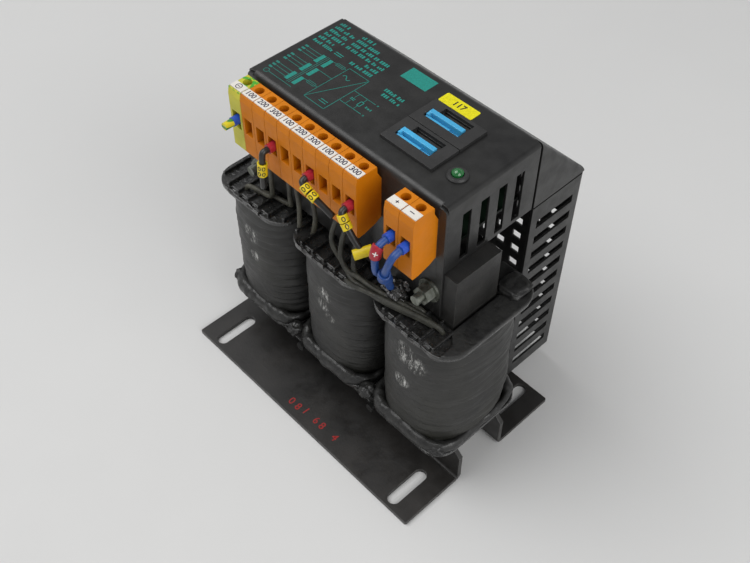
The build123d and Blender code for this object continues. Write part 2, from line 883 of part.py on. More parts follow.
with BuildPart() as capacitor:
    with BuildSketch(level(board_top)):
        with Locations((capacitor_x, capacitor_y)):
            Circle(capacitor_radius)
    extrude(amount=capacitor_height)
    fillet(capacitor.edges().group_by(Axis.Z)[-1], 1.2)
capacitor.part.label = "capacitor"
export_step(capacitor.part, "parts/capacitor.step")

# Fuse holders: a plate on the cover with a body that reaches the board
for name, holder_y in zip(("front", "rear"), holder_places):
    fuse_y = holder_y + fuse_offset
    with BuildPart() as fuse_holder:
        with BuildSketch(level(cover_top)):
            with Locations((holder_x, holder_y)):
                Rectangle(holder_width, module_depth)
        extrude(amount=holder_rise)
        with BuildSketch(level(board_top)):
            with Locations((holder_x, holder_y)):
                Rectangle(
                    holder_width - 2 * holder_lip - fit,
                    module_depth - 2 * holder_lip - fit,
                )
        extrude(amount=cover_top - board_top)
        with BuildSketch(level(fuse_floor)):
            with Locations((fuse_x, fuse_y)):
                Rectangle(pocket_length, fuse_thickness + 2 * pocket_play)
        extrude(amount=plate_top - fuse_floor, mode=Mode.SUBTRACT)
        with BuildSketch(level(plate_top - recess_deep)):
            with Locations((recess_x, fuse_y + fuse_thickness / 2 + pocket_play + recess_width / 2)):
                Rectangle(recess_length, recess_width)
        extrude(amount=recess_deep, mode=Mode.SUBTRACT)
        with BuildSketch(level(fuse_floor - clip_drop)):
            with Locations((fuse_x, fuse_y)):
                with GridLocations(blade_spacing, 1, 2, 1):
                    Rectangle(clip_length + fit, clip_depth + fit)
        extrude(amount=clip_drop, mode=Mode.SUBTRACT)
    fuse_holder.part.label = f"fuse_holder_{name}"
    export_step(fuse_holder.part, f"parts/fuse_holder_{name}.step")

    with BuildPart() as fuse:
        with BuildSketch(level(fuse_floor)):
            with Locations((fuse_x, fuse_y)):
                Rectangle(fuse_length, fuse_thickness)
        extrude(amount=fuse_height)
        with BuildSketch(upright(fuse_y - fuse_thickness / 2)):
            with Locations((fuse_x, fuse_floor + fuse_height - fuse_ledge)):
                Rectangle(fuse_window, fuse_height, align=(Align.CENTER, Align.MAX))
        extrude(amount=-fuse_recess, mode=Mode.SUBTRACT)
        fillet(fuse.edges().filter_by(Axis.Y).group_by(Axis.Z)[-1], fuse_round)
    fuse.part.label = f"fuse_{name}"
    export_step(fuse.part, f"parts/fuse_{name}.step")

with BuildPart() as fuse_blades:
    with BuildSketch(level(fuse_floor - blade_length)):
        for holder_y in holder_places:
            with Locations((fuse_x, holder_y + fuse_offset)):
                with GridLocations(blade_spacing, 1, 2, 1):
                    Rectangle(blade_width, blade_thickness)
    extrude(amount=blade_length)
fuse_blades.part.label = "fuse_blades"
export_step(fuse_blades.part, "parts/fuse_blades.step")

with BuildPart() as fuse_clips:
    with BuildSketch(level(fuse_floor - clip_drop)):
        for holder_y in holder_places:
            with Locations((fuse_x, holder_y + fuse_offset)):
                with GridLocations(blade_spacing, 1, 2, 1):
                    Rectangle(clip_length, clip_depth)
                    Rectangle(blade_width + fit, blade_thickness, mode=Mode.SUBTRACT)
    extrude(amount=clip_drop - fit)
fuse_clips.part.label = "fuse_clips"
export_step(fuse_clips.part, "parts/fuse_clips.step")

# Lamp: a ring in the cover, the lens in the ring, and its legs
with BuildPart() as lamp_ring:
    with BuildSketch(level(cover_top)):
        with Locations((lamp_x, lamp_y)):
            Circle(lamp_ring_radius)
    extrude(amount=lamp_ring_rise)
    chamfer(lamp_ring.edges().group_by(Axis.Z)[-1], lamp_ring_rise / 2)
    with BuildSketch(level(lamp_seat)):
        with Locations((lamp_x, lamp_y)):
            Circle(lamp_body_radius)
    extrude(amount=cover_top - lamp_seat)
    with BuildSketch(level(lamp_seat)):
        with Locations((lamp_x, lamp_y)):
            Circle(lamp_radius)
    extrude(amount=cover_top + lamp_ring_rise - lamp_seat, mode=Mode.SUBTRACT)
lamp_ring.part.label = "lamp_ring"
export_step(lamp_ring.part, "parts/lamp_ring.step")

with BuildPart() as lamp_lens:
    with BuildSketch(level(lamp_seat)):
        with Locations((lamp_x, lamp_y)):
            Circle(lamp_lens_radius)
    extrude(amount=lamp_straight)
    with Locations((lamp_x, core_y + lamp_y, lamp_seat + lamp_straight)):
        Sphere(lamp_lens_radius, arc_size1=0)
lamp_lens.part.label = "lamp_lens"
export_step(lamp_lens.part, "parts/lamp_lens.step")

with BuildPart() as lamp_legs:
    with BuildSketch(level(board_top)):
        with Locations((lamp_x, lamp_y)):
            with GridLocations(leg_spacing, 1, 2, 1):
                Rectangle(leg_width, leg_width)
    extrude(amount=lamp_seat - board_top)
lamp_legs.part.label = "lamp_legs"
export_step(lamp_legs.part, "parts/lamp_legs.step")

# Label stuck on the cover
with BuildPart() as rating_label:
    with BuildSketch(level(cover_top)):
        with Locations((label_x, label_y)):
            RectangleRounded(label_width, label_depth, label_corner)
    extrude(amount=label_thickness)
rating_label.part.label = "rating_label"
export_step(rating_label.part, "parts/rating_label.step")


# Leads: round wire along hand-chosen points, rounded at every corner
def bend_radii(points, share):
    """Each corner's radius, a share of the shorter run over tan of the half turn."""
    runs = [Vector(*b) - Vector(*a) for a, b in zip(points, points[1:])]
    radii = []
    for before, after in zip(runs, runs[1:]):
        turn = radians(before.get_angle(after))
        radii.append(share * min(before.length, after.length) / tan(turn / 2))
    return radii


def lead(points, radius, longest_bend):
    """A lead of round section along points given from the middle of the core."""
    placed = [(x, core_y + y, z) for x, y, z in points]
    radii = [min(r, longest_bend) for r in bend_radii(placed, bend_share)]
    with BuildLine() as path:
        if radii:
            FilletPolyline(*placed, radius=radii)
        else:
            Line(*placed)
    wire = path.wire()
    with BuildSketch(Plane(origin=wire @ 0, z_dir=wire % 0)) as section:
        Circle(radius)
    sweep(section.sketch, path=wire)
    print("lead", [round(r, 1) for r in radii], round(wire.length, 1))


def rods(places, y_from, y_to, radius):
    """Round rods along Y at places (x, z)."""
    with BuildSketch(upright(y_from)) as rounds:
        with Locations(*places):
            Circle(radius)
    extrude(rounds.sketch, amount=y_from - y_to)


with BuildPart() as coil_leads:
    for route in coil_routes.values():
        lead(route, coil_lead_radius, coil_bend)
coil_leads.part.label = "coil_leads"
export_step(coil_leads.part, "parts/coil_leads.step")

with BuildPart() as lead_bundle:
    for route in bundle_routes.values():
        lead(route, coil_lead_radius, coil_bend)
lead_bundle.part.label = "lead_bundle"
export_step(lead_bundle.part, "parts/lead_bundle.step")

# Stub leads held in the terminals, each with a crimped tip and a collar
earth_x = poles[0]
stub_x = [poles[i] for i in (3, 6, 9)]
output_x = poles[-2:]
tip_places = [(x, entry_middle) for x in [earth_x] + stub_x + output_x]
stub_routes = {
    "first": (
        (stub_x[0], collar_front, entry_middle),
        (stub_x[0], collar_front - 5.2, entry_middle),
        (stub_x[0] + 0.3, collar_front - 2.6, entry_middle - 24.4),
    ),
    "second": (
        (stub_x[1], collar_front, entry_middle),
        (stub_x[1], collar_front - 4.6, entry_middle),
        (stub_x[1] + 19.5, collar_front - 1.4, entry_middle - 12.4),
    ),
    "third": (
        (stub_x[2], collar_front, entry_middle),
        (stub_x[2], collar_front - 4.6, entry_middle),
        (stub_x[2] + 12.4, collar_front - 2.2, entry_middle - 14.2),
    ),
}
output_routes = {
    "plus": (
        (output_x[0], collar_front, entry_middle),
        (output_x[0], collar_front - 7, entry_middle),
        (output_x[0] - 1.2, collar_front - 5.4, 148),
        (41.6, -26.6, 125),
        (41.2, -22.6, 116),
    ),
    "minus": (
        (output_x[1], collar_front, entry_middle),
        (output_x[1], collar_front - 7, entry_middle),
        (output_x[1] - 1.6, collar_front - 5.4, 146),
        (46.4, -26.2, 125),
        (45.4, -22.4, 116),
    ),
}

with BuildPart() as ferrule_tips:
    rods(tip_places, collar_back, tip_back, tip_radius)
ferrule_tips.part.label = "ferrule_tips"
export_step(ferrule_tips.part, "parts/ferrule_tips.step")

with BuildPart() as ferrules_blue:
    blue_places = [(x, entry_middle) for x in [earth_x] + output_x]
    rods(blue_places, collar_back, collar_front, collar_radius)
ferrules_blue.part.label = "ferrules_blue"
export_step(ferrules_blue.part, "parts/ferrules_blue.step")

with BuildPart() as ferrules_red:
    rods([(x, entry_middle) for x in stub_x], collar_back, collar_front, collar_radius)
ferrules_red.part.label = "ferrules_red"
export_step(ferrules_red.part, "parts/ferrules_red.step")

with BuildPart() as earth_stub:
    rods([(earth_x, entry_middle)], collar_front, collar_front - earth_stub_length, earth_wire_radius)
earth_stub.part.label = "earth_stub"
export_step(earth_stub.part, "parts/earth_stub.step")

with BuildPart() as lead_stubs:
    for route in stub_routes.values():
        lead(route, wire_radius, stub_bend)
lead_stubs.part.label = "lead_stubs"
export_step(lead_stubs.part, "parts/lead_stubs.step")

with BuildPart() as output_leads:
    for route in output_routes.values():
        lead(route, output_wire_radius, output_bend)
output_leads.part.label = "output_leads"
export_step(output_leads.part, "parts/output_leads.step")


# Sleeves pushed over the straight runs of the leads
def sleeve(route, run, start, length, wire, outer):
    """A sleeve on one straight run of a route, start measured from its first point."""
    first = Vector(route[run][0], core_y + route[run][1], route[run][2])
    second = Vector(route[run + 1][0], core_y + route[run + 1][1], route[run + 1][2])
    along = (second - first).normalized()
    with BuildSketch(Plane(origin=first + along * start, z_dir=along)) as section:
        Circle(outer)
        Circle(wire, mode=Mode.SUBTRACT)
    extrude(section.sketch, amount=length)


with BuildPart() as number_sleeves:
    sleeve(stub_routes["first"], 1, 5.6, 7.6, wire_radius, wire_radius + sleeve_wall)
    sleeve(stub_routes["second"], 1, 5.2, 3.6, wire_radius, wire_radius + sleeve_wall)
    sleeve(stub_routes["second"], 1, 9.2, 3.6, wire_radius, wire_radius + sleeve_wall)
    sleeve(stub_routes["third"], 1, 4.8, 3.6, wire_radius, wire_radius + sleeve_wall)
number_sleeves.part.label = "number_sleeves"
export_step(number_sleeves.part, "parts/number_sleeves.step")

with BuildPart() as polarity_sleeve:
    sleeve(output_routes["plus"], 1, 4.8, 6.4, output_wire_radius, output_wire_radius + sleeve_wall)
polarity_sleeve.part.label = "polarity_sleeve"
export_step(polarity_sleeve.part, "parts/polarity_sleeve.step")

# Varnished knot that ties the bundle and the output leads together
with BuildPart() as varnish_knot:
    with Locations((knot_at[0], core_y + knot_at[1], knot_at[2])):
        Box(*knot_size)
    fillet(varnish_knot.edges(), knot_round)
    add(output_leads.part, mode=Mode.SUBTRACT)
    add(lead_bundle.part, mode=Mode.SUBTRACT)
varnish_knot.part.label = "varnish_knot"
export_step(varnish_knot.part, "parts/varnish_knot.step")
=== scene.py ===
"""Looks of the three-phase transformer supply, dressed over its CAD frame.

Metres, in the frame of the CAD part: X along the coils, Y to the guard, Z up.
Places in millimetres are counted from the middle of the core, as in the part.
"""
import random
from math import copysign, cos, pi, radians, sin, sqrt

import bmesh
import bpy
from mathutils import Matrix, Vector, noise


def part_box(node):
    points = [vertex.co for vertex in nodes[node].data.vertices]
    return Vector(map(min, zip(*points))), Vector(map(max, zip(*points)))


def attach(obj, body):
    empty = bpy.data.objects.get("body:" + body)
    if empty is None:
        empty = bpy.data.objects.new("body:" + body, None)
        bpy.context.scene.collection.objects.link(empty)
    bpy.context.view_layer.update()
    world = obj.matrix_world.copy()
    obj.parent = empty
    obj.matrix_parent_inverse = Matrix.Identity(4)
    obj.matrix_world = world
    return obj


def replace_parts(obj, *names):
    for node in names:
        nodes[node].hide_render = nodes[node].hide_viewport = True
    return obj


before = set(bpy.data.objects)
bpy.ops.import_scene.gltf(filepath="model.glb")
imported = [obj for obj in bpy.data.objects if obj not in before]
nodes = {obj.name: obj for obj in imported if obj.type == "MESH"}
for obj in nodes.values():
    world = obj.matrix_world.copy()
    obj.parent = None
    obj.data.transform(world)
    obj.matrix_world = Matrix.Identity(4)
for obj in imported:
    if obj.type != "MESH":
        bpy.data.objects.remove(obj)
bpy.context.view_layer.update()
scene = bpy.context.scene
random.seed(4)

MM = 0.001
print_slot, marker_slot, foot_slot = "black_paint", "marker_white", "bracket_steel"
upright = Matrix.Rotation(radians(90), 4, "X")
core_low, core_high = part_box("core_stack")
core_y = (core_low[1] + core_high[1]) / 2
cover_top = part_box("rating_label")[0][2]


def at(x, y, z):
    """A point in metres from millimetres, y from the middle of the core."""
    return Vector((x * MM, core_y + y * MM, z * MM))


def corners_of(node):
    """Low and high corner of a node's box, in metres."""
    return [Vector(corner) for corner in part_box(node)]


# Materials
class Finish:
    """A procedural material, with short calls for the nodes it is made of."""

    def __init__(self, name, rough, metal=0.0):
        self.mat = bpy.data.materials.new(name)
        self.mat.use_nodes = True
        self.tree = self.mat.node_tree
        self.shader = self.tree.nodes["Principled BSDF"]
        self.put("Metallic", metal)
        self.put("Roughness", rough)
        self.place = self.new("ShaderNodeTexCoord").outputs["Object"]

    def new(self, kind, **settings):
        node = self.tree.nodes.new(kind)
        for key, value in settings.items():
            setattr(node, key, value)
        return node

    def feed(self, socket, value):
        if isinstance(value, bpy.types.NodeSocket):
            self.tree.links.new(value, socket)
        elif isinstance(value, tuple) and socket.type == "RGBA":
            socket.default_value = (*value[:3], 1.0)
        else:
            socket.default_value = value

    def put(self, name, value):
        self.feed(self.shader.inputs[name], value)

    def noise(self, scale, detail, stretch=None, rough=0.55):
        place = self.place
        if stretch:
            mapping = self.new("ShaderNodeMapping")
            self.feed(mapping.inputs["Vector"], place)
            mapping.inputs["Scale"].default_value = stretch
            place = mapping.outputs["Vector"]
        node = self.new("ShaderNodeTexNoise")
        self.feed(node.inputs["Vector"], place)
        node.inputs["Scale"].default_value = scale
        node.inputs["Detail"].default_value = detail
        node.inputs["Roughness"].default_value = rough
        return node.outputs["Fac"]

    def cells(self, scale):
        node = self.new("ShaderNodeTexVoronoi")
        self.feed(node.inputs["Vector"], self.place)
        node.inputs["Scale"].default_value = scale
        return node.outputs["Distance"]

    def span(self, value, low, high, start=0.0, end=1.0):
        node = self.new("ShaderNodeMapRange")
        keys = ("Value", "From Min", "From Max", "To Min", "To Max")
        for key, number in zip(keys, (value, low, high, start, end)):
            self.feed(node.inputs[key], number)
        return node.outputs["Result"]

    def math(self, kind, a, b=0.0):
        node = self.new("ShaderNodeMath", operation=kind)
        self.feed(node.inputs[0], a)
        self.feed(node.inputs[1], b)
        return node.outputs["Value"]

    def mix(self, share, a, b):
        node = self.new("ShaderNodeMix", data_type="RGBA")
        self.feed(node.inputs["Factor"], share)
        self.feed(node.inputs["A"], a)
        self.feed(node.inputs["B"], b)
        return node.outputs["Result"]

    def tint(self, base, mask, strength, colour):
        """The base colour, turned to another by strength where the mask is 1."""
        return self.mix(self.math("MULTIPLY", mask, strength), base, colour)

    def rough(self, scale, detail, low, high):
        """Roughness that wanders between low and high."""
        self.put("Roughness", self.span(self.noise(scale, detail), 0.3, 0.7, low, high))

    def part(self, vector, letter):
        node = self.new("ShaderNodeSeparateXYZ")
        self.feed(node.inputs["Vector"], vector)
        return node.outputs[letter]

    def normal(self):
        return self.new("ShaderNodeNewGeometry").outputs["True Normal"]

    def bevelled(self, radius, samples):
        """The normal of the shape with softened edges."""
        node = self.new("ShaderNodeBevel", samples=samples)
        node.inputs["Radius"].default_value = radius
        return node.outputs["Normal"]

    def near(self, centre, reach):
        """1 at a point in metres, falling to 0 at reach."""
        node = self.new("ShaderNodeVectorMath", operation="DISTANCE")
        self.feed(node.inputs[0], self.place)
        node.inputs[1].default_value = centre
        return self.span(node.outputs["Value"], 0.0, reach, 1.0, 0.0)

    def edges(self, radius):
        """1 on the sharp edges of the shape, 0 on its flats."""
        dot = self.new("ShaderNodeVectorMath", operation="DOT_PRODUCT")
        self.feed(dot.inputs[0], self.bevelled(radius, 6))
        self.feed(dot.inputs[1], self.normal())
        return self.span(dot.outputs["Value"], 0.98, 0.8)

    def bump(self, height, depth, soft=0.0):
        node = self.new("ShaderNodeBump")
        self.feed(node.inputs["Height"], height)
        node.inputs["Distance"].default_value = depth
        if soft:
            self.feed(node.inputs["Normal"], self.bevelled(soft, 4))
        self.put("Normal", node.outputs["Normal"])


def srgb(red, green, blue):
    """Linear colour of an 8-bit screen colour."""
    return tuple(
        c / 12.92 / 255 if c <= 10 else ((c / 255 + 0.055) / 1.055) ** 2.4
        for c in (red, green, blue)
    )


def plastic(name, colour, rough=0.4, shade=0.82, gloss=0.5):
    """Moulded plastic: slow shade, faint flow marks, dust in specks, soft edges."""
    f = Finish(name, rough)
    slow = f.span(f.noise(90, 4), 0.35, 0.65)
    base = f.mix(slow, tuple(c * shade for c in colour), colour)
    speck = f.span(f.noise(2600, 2), 0.70, 0.78)
    f.put("Base Color", f.tint(base, speck, 0.25, srgb(190, 180, 165)))
    f.rough(260, 3, rough - 0.07, rough + 0.09)
    f.put("Specular IOR Level", gloss)
    f.bump(f.noise(1400, 3), 0.00004, 0.0003)
    return f.mat


def paint(name, dark, light, rough, wear_and_highlight, coat=0.0):
    """Satin paint on sheet steel: fine orange peel, dust, scratches, and edges lightened partly by
    wear and partly as a painted highlight.
    """
    f = Finish(name, rough)
    base = f.mix(f.span(f.noise(34, 5), 0.36, 0.66), dark, light)
    scratch = f.span(f.noise(45, 6, stretch=(9, 1.0, 3.0), rough=0.75), 0.69, 0.75)
    base = f.tint(base, scratch, 0.10, wear_and_highlight)
    base = f.tint(base, f.span(f.noise(1500, 2), 0.71, 0.79), 0.35, wear_and_highlight)
    # Sharp edges and bends lightened: partly real wear, partly a painted highlight
    worn_and_lit_edge = f.math("MULTIPLY", f.edges(0.0006), f.span(f.noise(420, 4), 0.42, 0.7))
    f.put("Base Color", f.tint(base, worn_and_lit_edge, 0.75, wear_and_highlight))
    f.rough(150, 4, rough - 0.08, rough + 0.12)
    f.put("Coat Weight", coat)
    f.bump(f.noise(1100, 3), 0.00006, 0.0004)
    return f.mat


def metal(name, colour, rough, stain):
    """Plated metal, brushed and dulled in patches."""
    f = Finish(name, rough, 0.85)
    f.put("Base Color", f.mix(f.span(f.noise(330, 4), 0.4, 0.68), colour, stain))
    f.rough(500, 4, rough - 0.1, rough + 0.15)
    f.bump(f.noise(700, 3, stretch=(1, 1, 6)), 0.00005, 0.0002)
    return f.mat


# Pale grey for wear, also used for the painted highlight along sharp edges
wear_and_highlight_grey = srgb(104, 102, 97)
cover_paint = paint("cover_paint", srgb(28, 28, 28), srgb(37, 37, 36), 0.38, srgb(92, 91, 88))
foot_paint = paint("foot_paint", srgb(27, 26, 25), srgb(41, 39, 37), 0.42, wear_and_highlight_grey, 0.15)
holder_plastic = plastic("holder_plastic", srgb(44, 44, 44), 0.46)
orange_plastic = plastic("orange_plastic", srgb(206, 120, 4), 0.5, 0.90, gloss=0.25)
white_plastic = plastic("white_plastic", srgb(226, 222, 214), 0.45, 0.93)
red_plastic = plastic("red_plastic", srgb(176, 34, 52), 0.36, 0.8)
blue_plastic = plastic("blue_plastic", srgb(40, 84, 190), 0.34, 0.8)
blue_cable = plastic("blue_cable", srgb(36, 76, 146), 0.36, 0.75)
black_cable = plastic("black_cable", srgb(38, 37, 36), 0.34, 0.8)
yellow_plastic = plastic("yellow_plastic", srgb(226, 200, 20), 0.42, 0.86)
fuse_plastic = plastic("fuse_plastic", srgb(74, 174, 222), 0.24, 0.85)
board_plastic = plastic("board_plastic", srgb(20, 40, 26), 0.5)
can_plastic = plastic("can_plastic", srgb(34, 36, 48), 0.3)
zinc = metal("zinc", srgb(134, 137, 129), 0.44, srgb(78, 80, 71))
tin = metal("tin", srgb(190, 190, 186), 0.3, srgb(150, 150, 146))
copper = metal("copper", srgb(84, 48, 32), 0.5, srgb(40, 26, 20))


def laminated(name):
    """Varnished stack of thin steel sheets, seen on its cut edges."""
    f = Finish(name, 0.42)
    across = f.math("MULTIPLY", f.part(f.place, "Y"), 1 / 0.0005)
    wobble = f.math("MULTIPLY", f.noise(60, 3, stretch=(1, 12, 1)), 1.6)
    line = f.math("FRACT", f.math("ADD", across, wobble))
    groove = f.span(f.math("ABSOLUTE", f.math("SUBTRACT", line, 0.5)), 0.34, 0.5)
    on_edge = f.span(f.math("ABSOLUTE", f.part(f.normal(), "Y")), 0.6, 0.4)
    groove = f.math("MULTIPLY", groove, on_edge)
    base = f.mix(f.span(f.noise(45, 5), 0.36, 0.66), srgb(30, 30, 30), srgb(46, 45, 43))
    base = f.tint(base, groove, 0.35, srgb(74, 73, 70))
    # Sharp edges lightened: partly real wear, partly a painted highlight
    worn_and_lit_edge = f.math("MULTIPLY", f.edges(0.0007), f.span(f.noise(300, 4), 0.4, 0.7))
    f.put("Base Color", f.tint(base, worn_and_lit_edge, 0.6, wear_and_highlight_grey))
    f.rough(140, 4, 0.34, 0.55)
    f.bump(f.math("SUBTRACT", f.noise(500, 3), groove), 0.00012, 0.0004)
    return f.mat


def varnished(name, dark, light, rough, lump, coat=0.5, painted_glint_share=0.3, painted_glint_tone=srgb(92, 90, 84)):
    """Thick, glossy, runny varnish over tape or moulding, with pale glints painted into its colour."""
    f = Finish(name, rough)
    base = f.mix(f.span(f.noise(120, 5), 0.35, 0.7), dark, light)
    # Painted highlight: pale glints mixed into the base colour where the noise peaks
    painted_glint = f.span(f.noise(700, 3), 0.64, 0.74)
    f.put("Base Color", f.tint(base, painted_glint, painted_glint_share, painted_glint_tone))
    f.put("Roughness", f.span(f.noise(220, 3), 0.35, 0.65, rough - 0.1, rough + 0.25))
    f.put("Coat Weight", coat)
    f.put("Coat Roughness", 0.16)
    f.bump(f.math("ADD", f.noise(240, 4), f.math("MULTIPLY", f.noise(800, 3), 0.3)), lump, 0.0005)
    return f.mat


# Pale scuffs on the wraps: centre in mm and reach in mm
scuffs = (
    ((-56, -30, 86.5), 7), ((-54.2, -30, 71.5), 4.5), ((0.6, -30, 87), 6), ((-0.5, -30, 78.5), 5),
    ((4, -30, 72), 4), ((56, -29, 93), 9), ((62, -29, 90), 8), ((54.8, -29, 71.5), 6),
)


def taped(name):
    """Black glass tape, wound in turns and soaked in varnish, scuffed pale."""
    f = Finish(name, 0.5)
    base = f.mix(f.span(f.noise(26, 5), 0.34, 0.68), srgb(23, 23, 22), srgb(35, 35, 33))
    olive = f.span(f.noise(20, 3, stretch=(1, 1, 0.6)), 0.5, 0.72)
    base = f.tint(base, olive, 0.5, srgb(43, 43, 35))
    level = f.noise(260, 4, stretch=(0.16, 0.16, 1.5))
    base = f.mix(f.span(level, 0.55, 0.75, 0.0, 0.3), base, srgb(20, 20, 20))
    streak = f.span(f.noise(300, 9, stretch=(1.7, 1.7, 0.5), rough=0.85), 0.50, 0.58)
    mask = 0.0
    for centre, reach in scuffs:
        mask = f.math("MAXIMUM", mask, f.near(at(*centre), reach * MM))
    rubbed = f.math("MULTIPLY", streak, f.span(mask, 0.1, 0.6))
    f.put("Base Color", f.tint(base, rubbed, 0.9, srgb(204, 204, 200)))
    f.rough(120, 4, 0.42, 0.62)
    f.put("Coat Weight", 0.12)
    f.put("Coat Roughness", 0.35)
    weave = f.noise(1500, 2, stretch=(1, 1, 2.5))
    f.bump(f.math("ADD", weave, f.math("MULTIPLY", level, 1.5)), 0.00006)
    return f.mat


def sleeving(name, dark, light):
    """Woven glass sleeving, olive grey, stiff with varnish."""
    f = Finish(name, 0.55)
    base = f.mix(f.span(f.noise(160, 4), 0.35, 0.68), dark, light)
    mesh = f.cells(1700)
    f.put("Base Color", f.mix(f.span(mesh, 0.3, 0.7, 0.0, 0.4), base, srgb(26, 25, 22)))
    f.rough(300, 3, 0.42, 0.66)
    f.bump(mesh, 0.00012)
    return f.mat


def earth_green(name):
    """Yellow-green body, with green flecks on the top face only."""
    f = Finish(name, 0.4)
    base = f.mix(f.span(f.noise(80, 3), 0.35, 0.65), srgb(180, 174, 40), srgb(202, 196, 54))
    on_top = f.span(f.part(f.place, "Z"), cover_top - 0.0012, cover_top - 0.0006)
    fleck = f.math("MULTIPLY", f.span(f.noise(420, 3), 0.50, 0.56), on_top)
    f.put("Base Color", f.mix(fleck, base, srgb(66, 160, 40)))
    f.rough(260, 3, 0.34, 0.5)
    f.bump(f.noise(1400, 3), 0.00004, 0.0003)
    return f.mat


def earth_cable(name):
    """Insulation in green and yellow stripes."""
    f = Finish(name, 0.36)
    turn = f.math("ADD", f.part(f.place, "Z"), f.math("MULTIPLY", f.part(f.place, "Y"), 0.2))
    stripe = f.span(f.math("FRACT", f.math("MULTIPLY", turn, 1 / 0.0034)), 0.55, 0.6)
    f.put("Base Color", f.mix(stripe, srgb(214, 200, 40), srgb(60, 130, 60)))
    f.rough(300, 3, 0.3, 0.46)
    f.bump(f.noise(1200, 3), 0.00004, 0.0002)
    return f.mat


def lens(name):
    """Green lamp lens, diffused and a little clear."""
    f = Finish(name, 0.12)
    f.put("Base Color", f.mix(f.noise(500, 2), srgb(16, 84, 42), srgb(48, 140, 70)))
    f.put("Transmission Weight", 0.25)
    f.put("Coat Weight", 0.6)
    f.bump(f.noise(900, 2), 0.00002)
    return f.mat


def inked(name, colour, rough=0.5):
    """Screen print: thin ink with small gaps in it."""
    f = Finish(name, rough)
    thin = f.span(f.noise(1500, 3), 0.3, 0.62)
    f.put("Base Color", f.mix(thin, tuple(c * 0.72 for c in colour), colour))
    f.rough(500, 3, rough - 0.08, rough + 0.1)
    f.bump(f.noise(1800, 3), 0.00002)
    return f.mat


core_sheets = laminated("core_sheets")
bobbin_varnish = varnished("bobbin_varnish", srgb(17, 17, 17), srgb(36, 36, 35), 0.24, 0.0008, 0.7)
thick_varnish = varnished("thick_varnish", srgb(20, 20, 20), srgb(40, 39, 37), 0.22, 0.0006)
# Strong white glints painted into the knot's colour, as painted highlights
knot_varnish = varnished(
    "knot_varnish", srgb(14, 14, 14), srgb(34, 33, 32), 0.12, 0.0013, 0.8, 0.85, srgb(206, 208, 210),
)
roll_varnish = varnished("roll_varnish", srgb(16, 16, 16), srgb(33, 33, 31), 0.46, 0.0005, 0.3)
tape = taped("wrap_tape")
# The coil leads' sleeving is a lighter copy of the bundle's, its colour raised to make up for the
# shade the leads lie in: painted light
brightened_lead_sleeve = sleeving("brightened_lead_sleeve", srgb(54, 53, 46), srgb(92, 90, 78))
bundle_sleeve = sleeving("bundle_sleeve", srgb(40, 40, 35), srgb(74, 74, 65))
earth_body = earth_green("earth_body")
earth_wire = earth_cable("earth_wire")
green_lens = lens("green_lens")
label_paper = inked("label_paper", srgb(232, 222, 8), 0.42)
teal_ink = inked("teal_ink", srgb(20, 138, 126))
teal_fine = inked("teal_fine", srgb(22, 122, 111))
dark_ink = inked("dark_ink", srgb(46, 38, 66))
black_ink = inked("black_ink", srgb(28, 28, 26))
red_ink = inked("red_ink", srgb(150, 26, 24))
white_ink = inked("white_ink", srgb(236, 234, 230))

# Each finish with the nodes it covers, by name or start of name
finishes = {start: finish for finish, starts in (
    (core_sheets, "core_"), (foot_paint, "front_bracket rear_bracket"), (roll_varnish, "lower_"),
    (zinc, "upper_ terminal_clamps terminal_screws"), (bobbin_varnish, "bobbin_"),
    (copper, "primary_winding secondary_winding"), (tape, "coil_wrap"),
    (cover_paint, "housing_cover"), (earth_body, "earth_terminal"),
    (orange_plastic, "primary_terminals output_terminals"),
    (white_plastic, "terminal_markers board_spacers"), (board_plastic, "circuit_board"),
    (holder_plastic, "rectifier fuse_holder lamp_ring"), (can_plastic, "capacitor"),
    (tin, "rectifier_pins fuse_blades fuse_clips lamp_legs ferrule_tips"),
    (fuse_plastic, "fuse_front fuse_rear"), (green_lens, "lamp_lens"),
    (label_paper, "rating_label"), (brightened_lead_sleeve, "coil_leads lead_bundle"),
    (blue_plastic, "ferrules_blue"), (red_plastic, "ferrules_red polarity_sleeve"),
    (earth_wire, "earth_stub"), (black_cable, "lead_stubs"), (blue_cable, "output_leads"),
    (yellow_plastic, "number_sleeves"), (thick_varnish, "varnish_knot"),
) for start in starts.split()}
for node_name, node_object in nodes.items():
    start = max((key for key in finishes if node_name.startswith(key)), key=len)
    node_object.data.materials.clear()
    node_object.data.materials.append(finishes[start])


# Pieces
def piece(name, mesh, material, smooth=True):
    """A mesh made into a piece that rides on the part."""
    thing = bpy.data.objects.new(name, mesh)
    scene.collection.objects.link(thing)
    mesh.materials.append(material)
    for polygon in mesh.polygons:
        polygon.use_smooth = smooth
    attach(thing, "root")
    return thing


def mesh_of(name, points, faces):
    mesh = bpy.data.meshes.new(name)
    mesh.from_pydata([tuple(p) for p in points], [], faces)
    mesh.update()
    return mesh


def rough_at(point, size, seed):
    """Smooth random number from -1 to 1 at a point, features about size metres."""
    return noise.noise(point / size + Vector((seed, seed * 2, 0)))


def add_rings(points, faces, rings, closed, capped=False):
    """Faces between rings of points; closed joins the last ring to the first."""
    first, around, total = len(points), len(rings[0]), len(rings)
    for ring in rings:
        points.extend(ring)
    for index in range(total if closed else total - 1):
        for turn in range(around):
            a = first + index * around + turn
            b = first + index * around + (turn + 1) % around
            shift = ((index + 1) % total - index) * around
            faces.append((a, b, b + shift, a + shift))
    if capped:
        faces.append(tuple(reversed(range(first, first + around))))
        faces.append(tuple(range(first + (total - 1) * around, first + total * around)))


# Coil wraps: wound in overlapping turns of tape, creased at the ends of the row
coil_pitch = 56.0
wrap_half_x, wrap_half_y, wrap_power = 26.2, 30.1, 2.5
turn_pitch = 5.2
wrap_rows, wrap_around = 150, 144


def squircle(angle, half_x, half_y):
    """A point of a soft-cornered rectangle, in the direction of angle."""
    return tuple(
        copysign(abs(side) ** (2 / wrap_power), side) * half
        for side, half in ((cos(angle), half_x), (sin(angle), half_y))
    )


